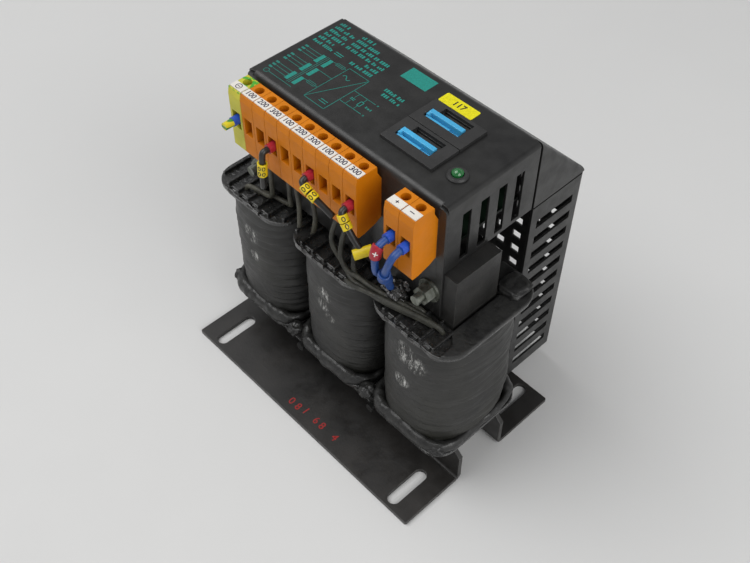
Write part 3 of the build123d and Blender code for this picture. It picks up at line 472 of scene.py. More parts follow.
def wrapped_coil(side):
    node = f"coil_wrap_{side}"
    low, high = corners_of(node)
    middle = (low + high) / 2
    rings = []
    seed = {"left": 3.0, "middle": 7.0, "right": 11.0}[side]
    for row in range(wrap_rows + 1):
        share = row / wrap_rows
        z = low.z + share * (high.z - low.z)
        height = 2 * share - 1
        waist = (1 - (0.04 if height > 0 else 0.035) * abs(height) ** 2.8) * MM
        ring = []
        for step in range(wrap_around):
            angle = 2 * pi * step / wrap_around
            x, y = squircle(angle, wrap_half_x * waist, wrap_half_y * waist)
            out = Vector((x, y, 0)).normalized()
            place = Vector((middle.x + x, middle.y + y, z))
            ends = abs(cos(angle)) ** 1.5
            tilt = 1.3 * sin(angle + seed) + 0.9 * rough_at(place, 0.021, seed)
            slip = 0.5 * rough_at(Vector((0, 0, z)), 0.007, seed)
            lap = ((z / MM + tilt) / turn_pitch + slip) % 1.0
            lift = (0.10 + 0.95 * ends) * (1 - lap) ** 0.6
            folded = Vector((place.x * 0.22, place.y * 0.22, z * 1.5 + tilt * 0.001))
            crease = (0.05 + 0.75 * ends) * rough_at(folded, 0.0048, seed)
            swell = (0.3 + 0.35 * ends) * rough_at(place, 0.015, seed)
            ring.append(place + out * (lift + crease + swell - 0.45) * MM)
        rings.append(ring)
    inner = [[
        Vector((middle.x + (spot.x - middle.x) * 0.93, middle.y + (spot.y - middle.y) * 0.93, spot.z))
        for spot in ring
    ] for ring in (rings[0], rings[-1])]
    points, faces = [], []
    add_rings(points, faces, [inner[0], *rings, inner[1]], False)
    skin = mesh_of(node + "_skin", points, faces)
    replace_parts(piece(f"taped_coil_{side}", skin, tape), node)


# Flat shapes cut from outlines in mm, with softened edges
def rounded_outline(half_x, half_y, corner, notches=(), steps=10):
    """Corners of a rounded rectangle, anticlockwise, with notches in the front edge."""
    spots = []
    for quarter, (side_x, side_y) in enumerate(((1, 1), (-1, 1), (-1, -1), (1, -1))):
        if quarter == 3:
            for notch_x, width, depth in notches:
                left, right = notch_x - width / 2, notch_x + width / 2
                inside = depth - half_y
                spots += [(left, -half_y), (left, inside), (right, inside), (right, -half_y)]
        for step in range(steps + 1):
            angle = radians(90 * (quarter + step / steps))
            spots.append((
                side_x * (half_x - corner) + corner * cos(angle),
                side_y * (half_y - corner) + corner * sin(angle),
            ))
    return spots


def curve_mesh(curve):
    """The mesh of a curve or of digits."""
    holder = bpy.data.objects.new("holder", curve)
    scene.collection.objects.link(holder)
    seen = holder.evaluated_get(bpy.context.evaluated_depsgraph_get())
    mesh = bpy.data.meshes.new_from_object(seen)
    bpy.data.objects.remove(holder)
    return mesh


def flat_mesh(outlines, thick, soft):
    """A plate from closed outlines in mm, its middle plane at height zero."""
    curve = bpy.data.curves.new("plate", "CURVE")
    curve.dimensions = "2D"
    curve.fill_mode = "BOTH"
    curve.extrude = (thick / 2 - soft) * MM
    curve.bevel_depth = soft * MM
    curve.bevel_resolution = 1
    curve.offset = -soft * MM
    for outline in outlines:
        spline = curve.splines.new("POLY")
        spline.points.add(len(outline) - 1)
        for spot, (x, y) in zip(spline.points, outline):
            spot.co = (x * MM, y * MM, 0, 1)
        spline.use_cyclic_u = True
    return curve_mesh(curve)


def plate_mesh(outlines, centre_x, low, thick, soft):
    """A level plate, its outlines counted from (centre_x, 0), with its lower side at low."""
    mesh = flat_mesh(outlines, thick, soft)
    mesh.transform(Matrix.Translation(at(centre_x, 0, low + thick / 2)))
    return mesh


def joined(name, meshes):
    work = bmesh.new()
    for mesh in meshes:
        work.from_mesh(mesh)
    result = bpy.data.meshes.new(name)
    work.to_mesh(result)
    work.free()
    result.materials.clear()
    return result


# Feet: folded angles with a long slot near each end, and holes for the yoke bolts
foot_plate, foot_bend, foot_corner, wall_cut = 2.5, 4.0, 0.6, 7.0
slot_x, slot_y, slot_long, slot_wide = 70.0, -39.0, 25.6, 7.0
bore_x, bore_z, bore_radius = 28.0, 14.5, 2.8


def arc(x, y, radius, start, sweep, steps):
    """Points of an arc round (x, y), start and sweep in degrees."""
    angles = [radians(start + sweep * step / steps) for step in range(steps + 1)]
    return [(x + radius * cos(angle), y + radius * sin(angle)) for angle in angles]


def slot_hole(x):
    """A slot along Y."""
    shift = (slot_long - slot_wide) / 2
    far = arc(x, slot_y + shift, slot_wide / 2, 0, 180, 12)
    return far + arc(x, slot_y - shift, slot_wide / 2, 180, 180, 12)


def dressed_foot(node, rear):
    low, high = corners_of(node)
    half, height = high.x / MM, high.z / MM
    reach = (high.y - core_y if rear else core_y - low.y) / MM
    inner = (low.y - core_y if rear else core_y - high.y) / MM
    fold = inner + foot_bend
    foot = [
        (half, -fold), (-half, -fold), (-half, foot_corner - reach), (foot_corner - half, -reach),
        (half - foot_corner, -reach), (half, foot_corner - reach),
    ]
    base = flat_mesh((foot, slot_hole(-slot_x), slot_hole(slot_x)), foot_plate, 0.12)
    base.transform(Matrix.Translation((0, 0, foot_plate / 2 * MM)))
    web = [
        (half, foot_bend), (half, height - wall_cut), (half - wall_cut, height),
        (wall_cut - half, height), (-half, height - wall_cut), (-half, foot_bend),
    ]
    bores = [arc(x, bore_z, bore_radius, 0, 345, 23) for x in (-bore_x, bore_x)]
    wall = flat_mesh((web, *bores), foot_plate, 0.12)
    wall.transform(Matrix.Translation((0, -(inner + foot_plate / 2) * MM, 0)) @ upright)
    points, faces = [], []
    for step in range(9):
        angle = radians(90 * step / 8)
        for radius in (foot_bend, foot_bend - foot_plate):
            for x in (-half, half):
                y, z = radius * sin(angle) - fold, foot_bend - radius * cos(angle)
                points.append(Vector((x, y, z)) * MM)
    for a in range(0, 32, 4):
        b = a + 4
        faces += [
            (a, a + 1, b + 1, b), (a + 3, a + 2, b + 2, b + 3),
            (a + 2, a, b, b + 2), (a + 1, a + 3, b + 3, b + 1),
        ]
    whole = joined(node + "_sheet", [base, wall, mesh_of("fold", points, faces)])
    if rear:
        whole.transform(Matrix.Scale(-1, 4, (0, 1, 0)))
        whole.flip_normals()
    whole.transform(Matrix.Translation((0, core_y, 0)))
    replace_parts(piece("dressed_" + node, whole, foot_paint, False), node)


dressed_foot("front_bracket", False)
dressed_foot("rear_bracket", True)

# Front corners of the box: the front panel reaches out to the side flaps
panel_edge, panel_low, panel_high, panel_sheet = 58.4, 113.4, 178.2, 1.2
cover_low, cover_high = corners_of("housing_cover")
panel_side = cover_high.x / MM
strip = (
    (panel_edge, panel_low), (panel_side, panel_low), (panel_side, panel_high - 2.0),
    (panel_side - 0.6, panel_high - 0.6), (panel_side - 2.0, panel_high), (panel_edge, panel_high),
)
strips = joined("cover_corner_strips", [
    flat_mesh(([(side * x, z) for x, z in strip],), panel_sheet, 0.15) for side in (-1, 1)
])
strips.transform(Matrix.Translation((0, cover_low.y + panel_sheet / 2 * MM, 0)) @ upright)
piece("cover_corners", strips, cover_paint, False)

# Bobbins: two flanges with rounded corners, a square tube, ribs and lead notches
flange_half_x, flange_half_y, flange_corner, flange_thick = 26.6, 31.0, 12.0, 2.2
flange_shift = 0.6
hole_half, tube_half = 14.3, 15.8
rib_pitch, rib_wide, rib_tall = 7.7, 1.2, 2.0
notch_wide, notch_deep = 3.4, 2.8


def square(half):
    return [(half, half), (-half, half), (-half, -half), (half, -half)]


def dressed_bobbin(side, number):
    node = f"bobbin_{side}"
    low, high = corners_of(node)
    centre_x = (low.x + high.x) / 2 / MM
    bottom, flange_top = low.z / MM, high.z / MM - rib_tall
    notches = [
        (rib_pitch * (step + 0.5), notch_wide + 0.5 * sin(step * 5 + number), notch_deep)
        for step in (-2, -1, 0, 1)
    ]
    flange = rounded_outline(flange_half_x, flange_half_y, flange_corner)
    notched = rounded_outline(flange_half_x, flange_half_y, flange_corner, notches)
    hole = square(hole_half)
    upper_x = centre_x + flange_shift
    meshes = [
        plate_mesh((flange, hole), centre_x, bottom, flange_thick, 0.4),
        plate_mesh((notched, hole), upper_x, flange_top - flange_thick, flange_thick, 0.4),
        plate_mesh((square(tube_half), hole), centre_x, bottom + 0.5, flange_top - bottom - 1.0, 0.05),
    ]
    # The right bobbin's last rib is under the tape
    for step in range(-3, 3 if side == "right" else 4):
        x = rib_pitch * step
        over = max(0.0, abs(x) - flange_half_x + flange_corner)
        reach = flange_half_y - flange_corner + sqrt(flange_corner ** 2 - over ** 2) - 1.8
        left, right = x - rib_wide / 2, x + rib_wide / 2
        rib = [(right, reach), (left, reach), (left, -reach), (right, -reach)]
        meshes.append(plate_mesh((rib,), upper_x, flange_top - 0.2, rib_tall + 0.1, 0.25))
    moulding = joined(node + "_moulding", meshes)
    body = piece(f"dressed_bobbin_{side}", moulding, bobbin_varnish, False)
    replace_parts(body, node)


def evenly(outline, gap):
    """The outline again, in points gap apart, as vectors in mm."""
    corners = [Vector(spot) for spot in outline]
    spots, left = [], 0.0
    for start, end in zip(corners, corners[1:] + corners[:1]):
        length = (end - start).length
        while left < length:
            spots.append(start + (end - start) * (left / length))
            left += gap
        left -= length
    return spots


# Varnish and tape that bulge along the edges of a flange
def varnish_roll(name, centre_x, z, outline, wide, tall, seed, material, lumps, front_only=False):
    """A lumpy roll along an outline, thinner at its ends along X, half sizes in mm."""
    loop = [
        at(centre_x + spot.x, spot.y, z) for spot in evenly(outline, 0.75)
        if not front_only or spot.y < -17
    ]
    rings = []
    total = len(loop)
    for index, spot in enumerate(loop):
        before, after = loop[index - 1], loop[(index + 1) % total]
        if front_only:
            before, after = loop[max(index - 1, 0)], loop[min(index + 1, total - 1)]
        out = (after - before).normalized().cross(Vector((0, 0, 1)))
        swell = 0.32 * rough_at(spot, 0.012, seed) + 0.22 * rough_at(spot, 0.0045, seed + 5)
        size = 1 + lumps * swell
        size *= 1 - (0.45 if out.x > 0 else 0.2) * abs(out.x) ** 3
        drop = 0.0009 * lumps * rough_at(spot, 0.010, seed + 9)
        ring = []
        for turn in range(16):
            angle = 2 * pi * turn / 16
            level, rise = cos(angle), sin(angle)
            skin = spot + out * level * 0.004 + Vector((0, 0, rise * 0.004))
            grain = 0.20 * rough_at(skin, 0.0042, seed + 2) + 0.05 * rough_at(skin, 0.0015, seed + 3)
            grow = size * MM * (1 + lumps * grain)
            ring.append(spot + out * level * wide * grow + Vector((0, 0, rise * tall * grow + drop)))
        rings.append(ring)
    points, faces = [], []
    add_rings(points, faces, rings, not front_only)
    piece(name, mesh_of(name, points, faces), material)


def blob(name, centre, size, seed, material, lumps=0.35, square=1.0, level=4):
    """A lumpy drop or pad, centre and half sizes in millimetres."""
    mesh = bpy.data.meshes.new(name)
    work = bmesh.new()
    bmesh.ops.create_icosphere(work, subdivisions=level, radius=1.0)
    for vertex in work.verts:
        coarse, small = rough_at(vertex.co, 0.55, seed), rough_at(vertex.co, 0.22, seed)
        grow = 1 + lumps * coarse + 0.4 * lumps * small
        boxy = [copysign(abs(c) ** square, c) for c in vertex.co]
        vertex.co = at(*centre) + Vector([c * s * MM * grow for c, s in zip(boxy, size)])
    work.to_mesh(mesh)
    work.free()
    return piece(name, mesh, material)


for number, side in enumerate(("left", "middle", "right")):
    coil_x = (number - 1) * coil_pitch
    wrapped_coil(side)
    dressed_bobbin(side, number)
    foot_loop = rounded_outline(flange_half_x - 1.7, flange_half_y - 2.4, 13.0)
    varnish_roll(
        f"lower_roll_{side}", coil_x, 32.9, foot_loop, 3.4, 4.4, 2.0 + number * 4, roll_varnish, 0.8,
    )
    rim_loop = rounded_outline(flange_half_x - 0.9, flange_half_y - 0.9, flange_corner)
    varnish_roll(
        f"upper_rim_{side}", coil_x + flange_shift, 108.3, rim_loop, 0.9, 1.3, 31.0 + number * 5,
        thick_varnish, 1.6, True,
    )
for number, (spot, size) in enumerate((
    ((-28, -27.5, 32.6), (4.2, 4.4, 3.6)), ((28, -27, 32.4), (4.6, 4.6, 3.4)),
    ((76, -25.5, 32), (4.8, 4.2, 3.4)), ((-78.5, -24.5, 33), (3.4, 4, 3.8)),
)):
    blob(f"varnish_lump_{number}", spot, size, 5.0 + number * 3, roll_varnish, 0.3)
# Smooth tape over the right end of the right bobbin, with a folded corner
rim = rounded_outline(flange_half_x + 0.5, flange_half_y + 0.4, flange_corner)
covered = [*rim[:11], (2.0, 31.4), (2.0, 15.2), (14.6, 15.2), (14.6, -16.5), (19.5, -21.0), *rim[-8:]]
tape_plate = plate_mesh((covered,), coil_pitch + flange_shift, 109.7, 2.5, 0.8)
piece("flange_tape", tape_plate, roll_varnish, False)
blob("tape_fold", (73.6, 22.4, 113.2), (6.4, 7.0, 2.2), 14.0, roll_varnish, 0.2, 0.6)


# Leads: soft tubes through listed places in mm
def soft_path(places, steps=8):
    """Points in metres of a smooth curve through the places."""
    spots = [at(*place) for place in places]
    spots = [spots[0] * 2 - spots[1]] + spots + [spots[-1] * 2 - spots[-2]]
    path = []
    for a, b, c, d in zip(spots, spots[1:], spots[2:], spots[3:]):
        for step in range(steps):
            t = step / steps
            bow, twist = 2 * a - 5 * b + 4 * c - d, 3 * b - a - 3 * c + d
            path.append(0.5 * (2 * b + (c - a) * t + bow * t * t + twist * t ** 3))
    path.append(spots[-2])
    return path


def frames(path):
    """Each path point with its direction and two sides that don't twist."""
    side = None
    for index, spot in enumerate(path):
        ahead = (path[min(index + 1, len(path) - 1)] - path[max(index - 1, 0)]).normalized()
        side = side or ahead.orthogonal().normalized()
        side = (side - ahead * side.dot(ahead)).normalized()
        yield spot, side, ahead.cross(side)


def round_ring(spot, side, other, radius, around):
    ring = []
    for turn in range(around):
        angle = 2 * pi * turn / around
        ring.append(spot + (side * cos(angle) + other * sin(angle)) * radius)
    return ring


def placed(name, points, faces, material, node):
    """A piece of tubes or sleeves, in place of a node where one is named."""
    thing = piece(name, mesh_of(name, points, faces), material)
    if node:
        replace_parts(thing, node)


def tubes(name, paths, radius, material, node, wobble):
    points, faces = [], []
    for path in paths:
        rings = []
        for spot, side, other in frames(path):
            size = radius * MM * (1 + wobble * rough_at(spot, 0.004, 1.0))
            rings.append(round_ring(spot, side, other, size, 14))
        add_rings(points, faces, rings, False, True)
    placed(name, points, faces, material, node)


def stretch(path, start, length):
    """The part of a path from start over length, in mm along it, in even steps."""
    part, run = [], 0.0
    for before, after in zip(path, path[1:]):
        step = (after - before).length / MM
        for share in (0.0, 0.25, 0.5, 0.75):
            if start <= run + share * step <= start + length:
                part.append(before + (after - before) * share)
        run += step
    return part


def sleeves(name, parts, inner, outer, material, node=None):
    """Hollow sleeves over parts of paths."""
    points, faces = [], []
    for part in parts:
        spots = list(frames(part))
        rings = [round_ring(*spot, outer * MM, 24) for spot in spots]
        rings += [round_ring(*spot, inner * MM, 24) for spot in reversed(spots)]
        add_rings(points, faces, rings, True)
    placed(name, points, faces, material, node)


class Flat:
    """Flat shapes gathered into one mesh."""

    def __init__(self):
        self.points = []
        self.faces = []

    def patch(self, spots):
        first = len(self.points)
        self.points += spots
        self.faces.append(tuple(range(first, first + len(spots))))

    def done(self, name, material, slot):
        piece(name, mesh_of(name, self.points, self.faces), material, False)


sleeve_outer, red_outer = 2.35, 2.6
zero_long, zero_wide, stroke = 1.25, 0.85, 0.42
reader = Vector((0.48, -0.45, 0.76)).normalized()


class Marks(Flat):
    """Flat marks laid round sleeves, on the side that is read, sizes in mm."""

    def spot(self, part, radius, along, around):
        middle = part[len(part) // 2]
        ahead = (part[-1] - part[0]).normalized()
        up = (reader - ahead * reader.dot(ahead)).normalized()
        angle = around / radius
        out = up * cos(angle) + ahead.cross(up) * sin(angle)
        return middle + ahead * along * MM + out * (radius + 0.04) * MM

    def zero(self, part, along, around):
        for step in range(20):
            corners = []
            for turn, less in ((step, 0), (step + 1, 0), (step + 1, stroke), (step, stroke)):
                angle = 2 * pi * turn / 20
                corners.append(self.spot(
                    part, sleeve_outer, along + sin(angle) * (zero_long - less),
                    around + cos(angle) * (zero_wide - less),
                ))
            self.patch(corners)

    def bar(self, part, half_along, half_around):
        for step in range(6):
            self.patch([
                self.spot(part, red_outer, side * half_along, (turn / 3 - 1) * half_around)
                for turn, side in ((step, -1), (step + 1, -1), (step + 1, 1), (step, 1))
            ])


coil_paths = [soft_path(places) for places in (
    ((-63.5, -24.5, 108.5), (-61.5, -23.6, 112.4), (-57, -22.4, 113), (-49.5, -20.8, 112.6),
     (-46.9, -20.2, 114.5), (-46.4, -20, 122), (-46, -20, 149.5)),
    ((-57.6, -22.9, 109), (-53.5, -21.3, 112.4), (-47.5, -18.9, 112.4), (-38.5, -17.4, 112.6),
     (-34.6, -17.9, 114.8), (-33.2, -19.6, 121), (-32, -20, 146.5)),
    ((-22.6, -23.8, 108.5), (-23.6, -22.4, 113.5), (-25.2, -20.6, 122.5), (-27, -20, 133),
     (-27, -20, 149.5)),
    ((-17, -20.6, 108.5), (-15.6, -20.4, 113), (-14, -20.2, 123), (-15.4, -20, 133),
     (-16, -20, 149.5)),
)]
bundle_paths = [soft_path(places) for places in (
    ((2, -20, 149.5), (1.9, -20, 136), (0.9, -23, 125.6), (2.6, -24, 119), (11.4, -25, 113.2),
     (19.2, -27.6, 112), (26, -27.8, 112.8), (39.5, -26.6, 112.8), (54.5, -22.6, 112.8),
     (64, -20.2, 112.6)),
    ((7.5, -20, 149.5), (7.4, -20, 134), (6.9, -22.4, 124), (8.6, -24.8, 116.6), (14.5, -26, 112.8),
     (21, -26, 114.4), (30, -25.8, 114.6), (41, -24, 114.6), (53, -20.9, 114), (60.5, -18.6, 111.4)),
    ((15, -20, 149.5), (14.8, -20.4, 130), (14.4, -22, 118.6), (17.6, -24.4, 112.6),
     (24, -24.4, 112.4), (34, -22.8, 112.6), (44, -20.6, 112.6), (52.6, -17.6, 112.2),
     (56, -16.2, 109.5)),
    ((16.6, -29, 110.8), (22, -29.6, 112), (31, -28.8, 114.2), (44, -26, 114.8), (57, -22, 114.2),
     (66, -19.6, 113), (68.6, -18.6, 109.5)),
)]
tubes("coil_lead_sleeving", coil_paths, 1.2, brightened_lead_sleeve, "coil_leads", 0.12)
tubes("bundle_sleeving", bundle_paths, 1.25, bundle_sleeve, "lead_bundle", 0.14)

# Cut leads below the terminals, their number sleeves and marks
stub_low, stub_high = corners_of("ferrules_red")
stub_front = (stub_low.y - core_y) / MM
stub_z = (stub_low.z + stub_high.z) / 2 / MM
first_x, last_x = stub_low.x / MM + 2.3, stub_high.x / MM - 2.3
middle_x = (first_x + last_x) / 2


def from_collar(x, steps, tail=()):
    """A path from the collar at x: steps from its mouth, then a tail with places of its own."""
    near = [(x + dx, stub_front + dy, stub_z + dz) for dx, dy, dz in ((0, 0.3, 0), *steps)]
    return soft_path(near + [(x + dx, y, z) for dx, y, z in tail])


stub_paths = [from_collar(x, steps) for x, steps in (
    (first_x, ((0, -2.9, -0.5), (0.2, -3.8, -4.5), (-0.4, -3.9, -12.5), (-0.8, -3.8, -21))),
    (middle_x, ((0.5, -2.2, -0.8), (4.6, -2.5, -3), (12, -1.8, -6.2), (18.5, -1, -9.2))),
    (last_x, ((0.4, -2.3, -1), (3.4, -2.6, -5.6), (8.2, -2.8, -10.4), (12.6, -2.6, -14.2))),
)]
tubes("cut_leads", stub_paths, 1.5, black_cable, "lead_stubs", 0.05)
tag_path = soft_path([
    (last_x + dx, y, stub_z - dz)
    for dx, y, dz in ((11.2, -38.2, 15.6), (13.4, -34.6, 14.6), (15.4, -31, 13.8))
])
sleeve_parts = [stretch(stub_paths[stub], start, length) for stub, start, length in (
    (0, 8.4, 7.6), (1, 4.2, 3.9), (1, 8.6, 3.9), (2, 3.4, 3.5), (2, 7.2, 3.5),
)] + [tag_path]
sleeves(
    "number_sleeve_tubes", sleeve_parts, 1.55, sleeve_outer,
    yellow_plastic, "number_sleeves",
)
sleeve_ink = Marks()
for part, zeros in zip(sleeve_parts, (
    ((-1.7, -0.9), (-1.7, 1.2), (1.6, -0.9), (1.6, 1.2)), ((0, -1.1), (0, 1.2)), ((0, -1.1), (0, 1.2)),
    ((0, 0),), ((0, 0),),
)):
    for along, around in zeros:
        sleeve_ink.zero(part, along, around)
sleeve_ink.done("sleeve_ink", black_ink, "black_paint")

# Output leads down to the varnished knot
out_low, out_high = corners_of("output_terminals")
output_paths = [from_collar(
    (out_low.x * share + out_high.x * (1 - share)) / MM, steps, tail,
) for share, steps, tail in (
    (0.75, ((-0.1, -4.2, -1.4), (-0.4, -5.6, -7), (-1.6, -3.8, -18)),
     ((-3.8, -29.2, 135.5), (-6.3, -25, 125), (-7, -22.6, 119.5))),
    (0.25, ((-0.2, -4, -1.6), (-2, -5.2, -8), (-6, -3.2, -19)),
     ((-10.2, -28.2, 134.5), (-13.9, -24.4, 125), (-14.9, -22.2, 119.5))),
)]
tubes("output_wires", output_paths, 1.65, blue_cable, "output_leads", 0.06)
red_part = stretch(output_paths[0], 4.4, 5.6)
sleeves("polarity_tube", [red_part], 1.7, red_outer, red_plastic, "polarity_sleeve")
sleeves("blue_wrap", [stretch(output_paths[1], 18.0, 7.5)], 1.7, 2.8, blue_cable)
red_marks = Marks()
red_marks.bar(red_part, 0.25, 1.2)
red_marks.bar(red_part, 1.2, 0.25)
red_marks.done("polarity_mark", white_ink, "marker_white")
knot = blob(
    "knot_varnish", (39.4, -19.8, 115.2), (6.4, 4.8, 4.9), 21.0, knot_varnish,
    0.45, 0.85, 5,
)
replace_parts(knot, "varnish_knot")


# Fuses: a full bar behind, a short lower bar in front and a groove between
for end in ("front", "rear"):
    low, high = corners_of(f"fuse_{end}")
    fuse_x = (low.x + high.x) / 2 / MM
    fuse_y = ((low.y + high.y) / 2 - core_y) / MM
    fuse_base, fuse_top = low.z / MM, high.z / MM
    bars = []
    for left, right, front, back, drop in (
        (-9.55, 9.55, -2.5, 2.5, 3.6),
        (-9.55, 9.55, 0.1, 2.5, 0.0),
        (-9.55, 4.1, -2.5, -1.1, 1.3),
        (-9.55, -8.1, -1.6, 0.6, 0.2),
    ):
        front, back = fuse_y + front, fuse_y + back
        shape = [(right, back), (left, back), (left, front), (right, front)]
        bars.append(plate_mesh((shape,), fuse_x, fuse_base, fuse_top - drop - fuse_base, 0.2))
    shell = joined(f"fuse_bars_{end}", bars)
    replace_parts(piece(f"fuse_shell_{end}", shell, fuse_plastic, False), f"fuse_{end}")


# Print on the cover: bars and plain shapes lying on its top
class Print(Flat):
    """Flat shapes at a height in metres over the cover, places in mm."""

    def __init__(self, height):
        super().__init__()
        self.height = height

    def lay(self, corners):
        spots = [at(x, y, 0) for x, y in corners]
        for spot in spots:
            spot.z = cover_top + self.height
        self.patch(spots)

    def box(self, x, y, width, depth):
        self.lay(((x, y), (x + width, y), (x + width, y + depth), (x, y + depth)))

    def lines(self, width, *lines):
        """Straight strokes, each from its first x and y to its last."""
        for line in lines:
            a, b = Vector(line[:2]), Vector(line[2:])
            side = (b - a).normalized().orthogonal() * width / 2
            self.lay((a - side, b - side, b + side, a + side))

    def ring(self, x, y, radius, width=0.35, count=24):
        for step in range(count):
            corners = []
            for turn, less in ((step, 0), (step + 1, 0), (step + 1, width), (step, width)):
                angle, reach = 2 * pi * turn / count, radius - less
                corners.append((x + cos(angle) * reach, y + sin(angle) * reach))
            self.lay(corners)

    def words(self, x, y, length, height=2.05):
        """A row of plain marks, in groups, where the print has words."""
        end = x + length
        while x < end - 0.8:
            for _ in range(random.randint(2, 5)):
                width = random.uniform(0.75, 1.15)
                if x + width > end:
                    break
                self.box(x, y, width, height * random.choice((1.0, 1.0, 0.72)))
                x += width + 0.42
            x += 0.9


bold = Print(0.00004)
fine = Print(0.00003)
# Left column and right column of the text rows, then four short rows
for row, (left, right) in enumerate(((7, 9), (13, 15), (13.5, 26), (14, 25), (11, 0), (13, 0))):
    y = 37.4 - row * 3.45
    bold.words(-58.2, y, left)
    if right:
        bold.words(-43.2, y, right)
for x, y, length in ((-27, 23.6, 8), (-33.4, 20.2, 15), (-8.4, 18.2, 13), (-7, 15, 11)):
    bold.words(x, y, length)
bold.lines(0.5, (-43.6, 20.6, -38.6, 20.6), (-43.6, 21.9, -38.6, 21.9))
# Windings, as filled bars with taps to the left
for low_y in (-7.4, 1.3, 10):
    bold.box(-46, low_y, 2.2, 6.3)
    bold.box(-40.9, low_y - 0.2, 2.2, 6.3)
    for tap in range(3):
        y = low_y + 0.9 + tap * 2.2
        fine.lines(0.3, (-54.6, y, -46, y))
        fine.box(-57.4, y - 0.6, 2.2, 1.2)
fine.lines(0.3, (-43, -8.4, -43, 16.6), (-41.9, -8.4, -41.9, 16.6), (-53.7, -9.6, -38.4, -9.6))
fine.ring(-55.4, -9.6, 1.5)
# Leads from the windings, two of them through a small plain box
for y in (-1.4, 16):
    low, high = y - 0.9, y + 0.9
    fine.lines(
        0.3, (-38.6, y, -30.4, y), (-36.6, low, -31.8, low), (-36.6, high, -31.8, high),
        (-36.6, low, -36.6, high), (-31.8, low, -31.8, high),
    )
fine.lines(0.3, (-38.6, 7.2, -30.4, 7.2))
# Square with a diagonal, a wave on one side and a pair of bars on the other
left, front, right, rear = -30.2, -9.3, -17.3, 18
fine.lines(
    0.35, (left, front, right, front), (right, front, right, rear), (right, rear, left, rear),
    (left, rear, left, front), (left, front, right, rear),
)
wave = [(-28.4 + step * 0.42, 12.2 + 1.1 * sin(step * 2 * pi / 11)) for step in range(12)]
bold.lines(0.4, *(start + end for start, end in zip(wave, wave[1:])))
bold.lines(0.4, (-23.4, -6.6, -18.9, -6.6), (-23.4, -5.2, -18.9, -5.2))
# Two lines out, bridged by a pair of bars and a plain box
for y in (0, 8.9):
    fine.lines(0.35, (-17.3, y, -3.6, y))
    fine.ring(-2.2, y, 0.5, 0.3, 12)
for x in (-13.6, -8.6):
    fine.lines(0.3, (x, 0, x, 3.2), (x, 5.6, x, 8.9))
bold.lines(
    0.4, (-14.9, 4, -12.3, 4), (-14.9, 4.9, -12.3, 4.9), (-9.4, 2.9, -9.4, 6),
    (-7.8, 2.9, -7.8, 6), (-9.4, 2.9, -7.8, 2.9), (-9.4, 6, -7.8, 6),
)
fine.words(-5.6, 4, 4, 1.3)
# Plain filled field
bold.box(-10.9, 30.8, 15.6, 8.6)
bold.done("cover_print", teal_ink, print_slot)
fine.done("cover_diagram", teal_fine, print_slot)


# Digits and markers
def digits(name, text, size, place, material, spin, bold_by):
    """Plain digits lying level with their middle at place, spin in degrees."""
    curve = bpy.data.curves.new(name, "FONT")
    curve.body = text
    curve.size = size * MM
    curve.align_x = curve.align_y = "CENTER"
    curve.resolution_u = 3
    curve.offset = bold_by * MM
    mesh = curve_mesh(curve)
    mesh.materials.clear()
    mesh.transform(Matrix.Translation(place) @ Matrix.Rotation(radians(spin), 4, "Z"))
    piece(name, mesh, material, False)


marker_low, marker_high = corners_of("terminal_markers")
marker_y = ((marker_low.y + marker_high.y) / 2 - core_y) / MM
marker_top = marker_high.z / MM
pole_pitch, marker_half = 8.4, 3.7
marker_x = [marker_low.x / MM + marker_half + pole * pole_pitch for pole in range(10)]
minus_x = marker_high.x / MM - marker_half
plus_x = minus_x - pole_pitch
marker_shapes = [
    [(x + dx, marker_y + dy) for dx, dy in ((3.9, 2.15), (-3.9, 2.15), (-3.9, -2.15), (3.9, -2.15))]
    for x in (*marker_x, plus_x, minus_x)
]
marker_plates = joined("marker_shapes", [
    plate_mesh((shape,), 0.0, marker_top - 0.9, 0.9, 0.15) for shape in marker_shapes
])
markers = piece("marker_plates", marker_plates, white_plastic, False)
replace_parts(markers, "terminal_markers")
ink_top = marker_top + 0.03
for pole in range(1, 10):
    text = str((1 + (pole - 1) % 3) * 100)
    spot = at(marker_x[pole], marker_y, ink_top)
    digits(f"marker_digits_{pole}", text, 3.9, spot, dark_ink, 0.0, 0.07)
signs = Print(ink_top * MM - cover_top)
signs.ring(marker_x[0], marker_y, 1.7, 0.4)
signs.lines(0.4, (marker_x[0] - 0.9, marker_y, marker_x[0] + 0.9, marker_y))
signs.lines(
    0.45, (plus_x - 0.8, marker_y, plus_x + 0.8, marker_y),
    (plus_x, marker_y - 0.8, plus_x, marker_y + 0.8),
    (minus_x - 1.2, marker_y, minus_x + 1.2, marker_y),
)
signs.done("marker_signs", dark_ink, marker_slot)
label_low, label_high = corners_of("rating_label")
label_middle = (label_low + label_high) / 2
label_middle.z = label_high.z + 0.00003
digits("label_digits", "117", 4.6, label_middle, black_ink, 0.0, 0.1)
for index, (character, x) in enumerate(zip("081684", (-10.4, -5.2, -0.2, 8.2, 13.0, 23.0))):
    spot = at(x, -46.6 - 1.2 * (index < 2), foot_plate + 0.05)
    digits(f"foot_digit_{index}", character, 6.2, spot, red_ink, 6 - 5 * (index % 3), 0.08)

# Stage
floor_tone = srgb(211, 211, 210)


def floor_finish():
    f = Finish("floor_paper", 0.7)
    shade = f.span(f.noise(3, 3), 0.3, 0.7)
    f.put("Base Color", f.mix(shade, tuple(c * 0.97 for c in floor_tone), floor_tone))
    f.rough(40, 3, 0.65, 0.8)
    f.bump(f.noise(700, 2), 0.00003)
    return f.mat


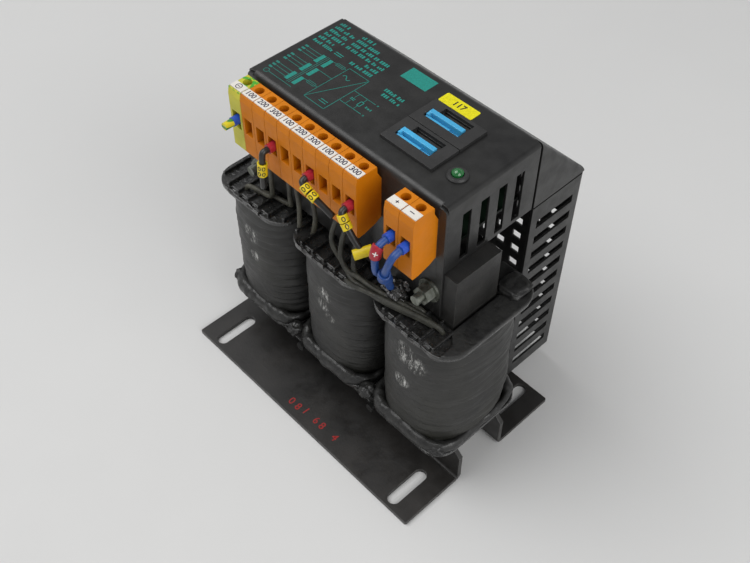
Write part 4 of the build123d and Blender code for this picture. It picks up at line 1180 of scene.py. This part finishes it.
floor_mesh = mesh_of("floor", [(-6, -6, 0), (6, -6, 0), (6, 6, 0), (-6, 6, 0)], [(0, 1, 2, 3)])
floor = bpy.data.objects.new("floor", floor_mesh)
scene.collection.objects.link(floor)
floor_mesh.materials.append(floor_finish())

world = bpy.data.worlds.new("studio")
scene.world = world
world.use_nodes = True
tree = world.node_tree
tree.nodes.clear()
out, back, ramp, split, coords = (
    tree.nodes.new("ShaderNode" + kind)
    for kind in ("OutputWorld", "Background", "ValToRGB", "SeparateXYZ", "TexCoord")
)
tree.links.new(coords.outputs["Generated"], split.inputs["Vector"])
tree.links.new(split.outputs["Z"], ramp.inputs["Fac"])
tree.links.new(ramp.outputs["Color"], back.inputs["Color"])
tree.links.new(back.outputs["Background"], out.inputs["Surface"])
horizon, overhead = ramp.color_ramp.elements
horizon.position, horizon.color = 0.0, (0.66, 0.66, 0.66, 1)
overhead.position, overhead.color = 0.75, (0.24, 0.24, 0.245, 1)
back.inputs["Strength"].default_value = 0.85

for name, place, size, power in (
    ("key", (-0.7, -0.45, 1.7), 1.8, 25), ("fill", (1.4, -0.15, 1.0), 1.4, 15),
):
    data = bpy.data.lights.new(name, "AREA")
    data.shape = "DISK"
    data.size = size
    data.energy = power
    lamp = bpy.data.objects.new(name, data)
    lamp.location = place
    aim = Vector((0, 0, 0.08)) - Vector(place)
    lamp.rotation_euler = aim.to_track_quat("-Z", "Y").to_euler()
    scene.collection.objects.link(lamp)

# Camera
camera_data = bpy.data.cameras.new("camera")
camera_data.lens = 47.67
camera_data.sensor_width = 36.0
camera_data.clip_start = 0.01
camera = bpy.data.objects.new("camera", camera_data)
scene.collection.objects.link(camera)
azimuth, elevation, roll = radians(46.63), radians(49.15), radians(-0.1)
camera.matrix_world = (
    Matrix.Translation(at(242.5, -224.2, 454.6)) @ Matrix.Rotation(azimuth, 4, "Z")
    @ Matrix.Rotation(radians(90) - elevation, 4, "X") @ Matrix.Rotation(roll, 4, "Z")
)
scene.camera = camera
scene.view_settings.view_transform = "Standard"
